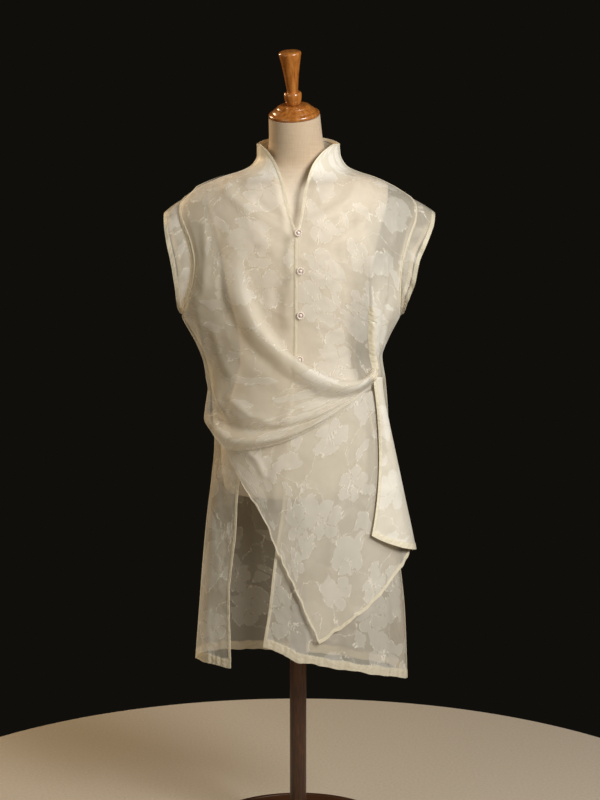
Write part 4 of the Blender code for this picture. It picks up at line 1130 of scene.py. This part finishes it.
# ---------------------------------------------------------------- flap
# The overlay's skirt hangs from under the swag to a pointed hem, with a narrow
# turned edge all along it.
FLAP = table(
    "rib top_x top_z hem_x hem_z hem_lift",
    *((rib, *row) for rib, row in enumerate((
        (-0.163, 0.870, -0.112, 0.779, 0.0032),
        (-0.135, 0.870, -0.094, 0.751, 0.0030),
        (-0.105, 0.872, -0.074, 0.724, 0.0040),
        (-0.075, 0.880, -0.059, 0.687, 0.0050),
        (-0.045, 0.890, -0.037, 0.635, 0.0060),
        (-0.015, 0.902, -0.012, 0.583, 0.0070),
        (0.015, 0.914, 0.014, 0.524, 0.0080),
        (0.040, 0.926, 0.044, 0.460, 0.0090),
        (0.060, 0.935, 0.078, 0.481, 0.0080),
        (0.078, 0.943, 0.110, 0.501, 0.0100),
        (0.094, 0.950, 0.141, 0.526, 0.0090),
        (0.109, 0.956, 0.168, 0.547, 0.0120),
        (0.123, 0.961, 0.1920, 0.5720, 0.0150),
        (0.138, 0.965, 0.2140, 0.6030, 0.0200),
        (0.150, 0.967, 0.2345, 0.6305, 0.0285),
    ))),
)
FLAP_SEAT = 0.0030
FLAP_BAND = 0.0080
FLAP_PLIES = 1.3
FLAP_CREASES = (
    (((0.128, 0.950), (0.100, 0.840), (0.075, 0.700), (0.058, 0.560)), 0.0110, 0.0022),
    (((0.145, 0.940), (0.140, 0.820), (0.120, 0.680)), 0.0100, 0.0024),
    (((0.060, 0.905), (0.020, 0.800), (0.000, 0.680)), 0.0120, 0.0020),
    (((-0.030, 0.870), (-0.050, 0.800), (-0.046, 0.720)), 0.0100, 0.0020),
    (((-0.110, 0.862), (-0.080, 0.826), (-0.066, 0.790)), 0.0080, 0.0030),
)


def on_front(x, z, lift):
    """Places over the front, found by their x and z."""
    return body_place(angle_at(x, z, lift), z, lift)


rib = np.linspace(0.0, FLAP["rib"][-1], 141)[None, :]
t = np.linspace(1.0, 0.0, 91)[:, None]
x = blend(from_table(FLAP, "top_x", rib), np.interp(rib, FLAP["rib"], FLAP["hem_x"]), t)
z = blend(from_table(FLAP, "top_z", rib), np.interp(rib, FLAP["rib"], FLAP["hem_z"]), t)
lift = FLAP_SEAT + (from_table(FLAP, "hem_lift", rib) - FLAP_SEAT) * t ** 1.5
smooth = on_front(x, z, lift)
by_hem = ease(0.80, 1.0, t)
x = x + by_hem * crinkle(smooth, 33, (0.020, 0.0034))
z = z + by_hem * crinkle(smooth, 34, (0.020, 0.0044))
loose = ease(0.0, 0.25, t)
lift = lift + SEAM + loose * np.abs(crease_rise(x, z, FLAP_CREASES))
lift = lift + loose * (0.0008 + crinkle(smooth, 31, (0.050, 0.0014), (0.017, 0.0004)))
places = on_front(x, z, lift)
down = step_lengths(places, 0)
run = step_lengths(places, 1)
cut = (run - run[:, rib.size // 2:rib.size // 2 + 1] + 8.0, down[-1:] - down + 0.2)
flap = make_cloth("flap_cloth", places, cut, down / FLAP_BAND, FLAP_PLIES)
rides(flap, "drape_flap")

# ---------------------------------------------------------------- cascade
# Beside the flap the same cloth falls from the knot in one soft fold that turns
# back on itself at the side.
TAIL = table(
    "line x_0 z_0 lift_0 x_1 z_1 lift_1 x_2 z_2 lift_2",
    *((line, *row) for line, row in enumerate((
        (0.1520, 0.9930, 0.0085, 0.1665, 0.830, 0.0118, 0.152, 0.674, 0.0165),
        (0.1570, 0.9935, 0.0105, 0.1780, 0.826, 0.0195, 0.176, 0.660, 0.0220),
        (0.1610, 0.9935, 0.0115, 0.1900, 0.820, 0.0260, 0.201, 0.648, 0.0300),
        (0.1645, 0.9930, 0.0118, 0.2005, 0.812, 0.0290, 0.226, 0.636, 0.0380),
        (0.1670, 0.9920, 0.0108, 0.2075, 0.804, 0.0275, 0.245, 0.624, 0.0380),
        (0.1665, 0.9910, 0.0088, 0.2065, 0.804, 0.0235, 0.2440, 0.6260, 0.0375),
        (0.1550, 0.9890, 0.0068, 0.1975, 0.803, 0.0185, 0.2380, 0.6235, 0.0330),
    ))),
)
TAIL_BAND = 0.0130
TAIL_SIDE_BAND = 0.0060
TAIL_PLIES = 4.8
line = np.linspace(0.0, TAIL["line"][-1], 73)[None, :]
t = np.linspace(1.0, 0.0, 91)[:, None]
shares = ((1.0 - t) * (1.0 - 2.0 * t), 4.0 * t * (1.0 - t), t * (2.0 * t - 1.0))
x, z, lift = (
    sum(share * from_table(TAIL, f"{name}_{k}", line) for k, share in enumerate(shares))
    for name in ("x", "z", "lift")
)
smooth = on_front(x, z, lift)
loose = ease(0.0, 0.3, t) * np.sin(math.pi * np.clip(line / 4.0, 0.0, 1.0))
lift = lift + SEAM + loose * crinkle(smooth, 41, (0.035, 0.0016), (0.015, 0.0005))
places = on_front(x, z, lift)
down = step_lengths(places, 0)
run = step_lengths(places, 1)
band = np.minimum(np.minimum(down / TAIL_BAND, run / TAIL_SIDE_BAND), NO_EDGE)
tail = make_cloth("cascade_cloth", places, (run + 9.0, down[-1:] - down + 0.5), band, TAIL_PLIES)
rides(tail, "drape_tail")

# ---------------------------------------------------------------- knot
# Overlay and cascade are drawn together at the left waist and wrapped once with
# their own cloth, which makes a small gathered knot.
KNOT_X = 0.1535
KNOT_HEIGHT = 0.9975
KNOT_LIFT = 0.0105
KNOT_HALF = (0.0095, 0.0085, 0.0130)
KNOT_TILT = 52.0
bpy.ops.mesh.primitive_uv_sphere_add(segments=72, ring_count=48, radius=1.0)
knot = named("knot_cloth")
for vertex in knot.data.vertices:
    bearing = math.atan2(vertex.co.y, vertex.co.x)
    pleat = 0.07 * math.cos(9.0 * bearing + 2.4 * vertex.co.z) * (1.0 - vertex.co.z ** 2)
    waist = -0.16 * math.exp(-((vertex.co.z - 0.1) / 0.22) ** 2)
    vertex.co *= 0.97 + pleat
    vertex.co.x *= 1.0 + waist
    vertex.co.y *= 1.0 + waist
knot_angle = float(angle_at(KNOT_X, KNOT_HEIGHT, KNOT_LIFT))
knot_place = body_place(knot_angle, KNOT_HEIGHT, KNOT_LIFT)
knot.data.transform(
    Matrix.Translation(knot_place.tolist()) @ Matrix.Rotation(math.radians(knot_angle), 4, "Z")
    @ Matrix.Rotation(math.radians(KNOT_TILT), 4, "Y") @ Matrix.Diagonal((*KNOT_HALF, 1.0))
)
bpy.ops.object.shade_smooth()


# The same organza gathered so tightly that it is opaque: satin with fine pleat lines, whose hollows are
# painted darker as painted shade.
def gathered_organza():
    made, add = start_material("gathered_organza")
    upright = add("Mapping", {"Vector": add("TexCoord", out="Object"), "Scale": (900.0, 900.0, 90.0)})
    # One pleat noise sets both the bump and the colour: darker where the bump is low, as painted shade.
    pleats_and_painted_shade = add("TexNoise", {"Vector": upright, "Scale": 1.0, "Detail": 3.0})
    add(SURFACE, {
        "Base Color": add("ValToRGB", (pleats_and_painted_shade,), stops=((0.32, "#D9CBAF"), (0.62, "#F1E6CF"))),
        "Roughness": 0.48, "Sheen Weight": 0.30, "Sheen Roughness": 0.35,
        "Normal": add("Bump", {"Height": pleats_and_painted_shade, "Strength": 0.5, "Distance": 0.0006}),
    })
    return made


rides(knot, "knot", gathered_organza())

# ---------------------------------------------------------------- buttons
# Four sewn-on dress buttons: a turned nacre disc with twelve small pearls set round
# its rim, a rose-silver ring pressed in, and one larger pearl in the middle.
BUTTON_RADIUS = 0.0075
BUTTON_HEIGHT = 0.0055
BUTTONS = (
    ("button_1", 0.0005, 1.288, 0.0), ("button_2", 0.0050, 1.215, 0.0007),
    ("button_3", 0.0050, 1.127, 0.0006), ("button_4", 0.0030, 1.038, 0.0),
)
RIM_PEARLS = 12


# Nacre and pearls: a creamy body with a pink cast under a smooth clear coat.
def pink_nacre():
    made, add = start_material("pink_nacre")
    place = add("TexCoord", out="Object")
    nacre = add("TexNoise", {"Vector": place, "Scale": 350.0, "Detail": 2.0})
    add(SURFACE, {
        "Base Color": add("ValToRGB", (nacre,), stops=((0.3, "#F6E9E0"), (0.7, "#FFF9F3"))),
        "Roughness": 0.25, "Coat Weight": 0.7, "Coat Roughness": 0.08,
    })
    return made


# Rose-silver plate: a soft pinkish metal gleam, duller where it is worn.
def rose_silver():
    made, add = start_material("rose_silver")
    place = add("TexCoord", out="Object")
    worn = add("TexNoise", {"Vector": place, "Scale": 900.0, "Detail": 3.0})
    add(SURFACE, {
        "Base Color": add("ValToRGB", (worn,), stops=((0.35, "#C49C86"), (0.65, "#E6CDBE"))),
        "Metallic": 1.0, "Roughness": add("MapRange", {"Value": worn, "To Min": 0.34, "To Max": 0.58}),
    })
    return made


nacre_finish, silver_finish = pink_nacre(), rose_silver()
for name, across_body, height, sink in BUTTONS:
    r, h = BUTTON_RADIUS, BUTTON_HEIGHT
    disc = turn_on_lathe(name + "_jewelled", (
        (0.80 * r, 0.0), (0.94 * r, 0.10 * h), (0.98 * r, 0.22 * h), (0.94 * r, 0.34 * h),
        (0.60 * r, 0.40 * h), (0.54 * r, 0.34 * h), (0.48 * r, 0.34 * h), (0.40 * r, 0.42 * h),
    ), 64, 60.0)
    bpy.ops.mesh.primitive_torus_add(
        major_segments=64, minor_segments=12, major_radius=0.53 * r, minor_radius=0.055 * r,
        location=(0.0, 0.0, 0.42 * h),
    )
    ring = bpy.context.active_object
    bpy.ops.mesh.primitive_uv_sphere_add(
        segments=40, ring_count=24, radius=0.40 * r, location=(0.0, 0.0, 0.52 * h),
    )
    pearls = [bpy.context.active_object]
    for k in range(RIM_PEARLS):
        turn = 2.0 * math.pi * (k + 0.5) / RIM_PEARLS
        bpy.ops.mesh.primitive_uv_sphere_add(
            segments=20, ring_count=12, radius=0.22 * r,
            location=(0.86 * r * math.cos(turn), 0.86 * r * math.sin(turn), 0.50 * h),
        )
        pearls.append(bpy.context.active_object)
    finishes = [(disc, nacre_finish), (ring, silver_finish)] + [(pearl, nacre_finish) for pearl in pearls]
    for part, finish in finishes:
        part.data.materials.append(finish)
        part.select_set(True)
    for part in [ring] + pearls:
        part.data.shade_smooth()
    bpy.context.view_layer.objects.active = disc
    bpy.ops.object.join()
    turn_angle = float(angle_at(across_body, height))
    stand_off = LAP_LIFT + 0.0020 + SEAM - sink
    here = Vector(body_place(turn_angle, height, stand_off).tolist())
    facing = Vector(body_place(turn_angle, height, stand_off + 0.01).tolist()) - here
    disc.data.transform(Matrix.Translation(here) @ facing.to_track_quat("Z", "Y").to_matrix().to_4x4())
    rides(disc, name)

# ---------------------------------------------------------------- studio
# A plain pale floor, a broad warm key from the wearer's left front, a weak fill
# from the other side and a small warm light from behind the right shoulder.
bpy.ops.mesh.primitive_cylinder_add(vertices=128, radius=1.0, depth=0.01, location=(0.0, 0.0, -0.0052))
floor = named("floor")
bpy.ops.object.transform_apply(location=True)
painted, add = start_material("pale_floor_paint")
speckle = add("TexNoise", {"Vector": add("TexCoord", out="Object"), "Scale": 160.0, "Detail": 4.0})
add(SURFACE, {
    "Base Color": add("ValToRGB", (speckle,), stops=((0.3, "#B9B2A6"), (0.7, "#C6BFB3"))),
    "Roughness": 0.85,
})
floor.data.materials.append(painted)

world = bpy.data.worlds.new("dark_studio")
world.use_nodes = True
backdrop = world.node_tree.nodes["Background"].inputs
backdrop["Color"].default_value = linear("#100F0C")
backdrop["Strength"].default_value = 1.0
bpy.context.scene.world = world


def soft_light(name, place, target, wide, power, colour):
    bpy.ops.object.light_add(type="AREA", location=place)
    light = named(name)
    light.data.shape = "DISK"
    light.data.size = wide
    light.data.energy = power
    light.data.color = linear(colour)[:3]
    light.rotation_euler = (Vector(target) - Vector(place)).to_track_quat("-Z", "Y").to_euler()


soft_light("key", (1.9, -2.3, 2.55), (0.0, 0.0, 1.22), 1.3, 115.0, "#FFFAF2")
soft_light("fill", (-2.4, -2.6, 1.8), (0.0, 0.0, 1.0), 2.0, 21.0, "#FFF0D2")
soft_light("rim", (-1.9, 1.3, 2.3), (0.0, 0.0, 1.15), 0.8, 42.0, "#FFDCAE")
bpy.context.scene.view_settings.view_transform = "Standard"

# ---------------------------------------------------------------- camera
# On a stand in front of the form, a little above its shoulders and tipped down.
view_data = bpy.data.cameras.new("camera")
view_data.sensor_fit = "VERTICAL"
view_data.sensor_height = 24.0
view_data.lens = 58.53
camera = bpy.data.objects.new("camera", view_data)
bpy.context.scene.collection.objects.link(camera)
camera.location = (0.004, -4.0, 1.5)
camera.rotation_euler = (math.radians(82.0), 0.0, 0.0)
bpy.context.scene.camera = camera
bpy.context.scene.cycles.transparent_max_bounces = 32
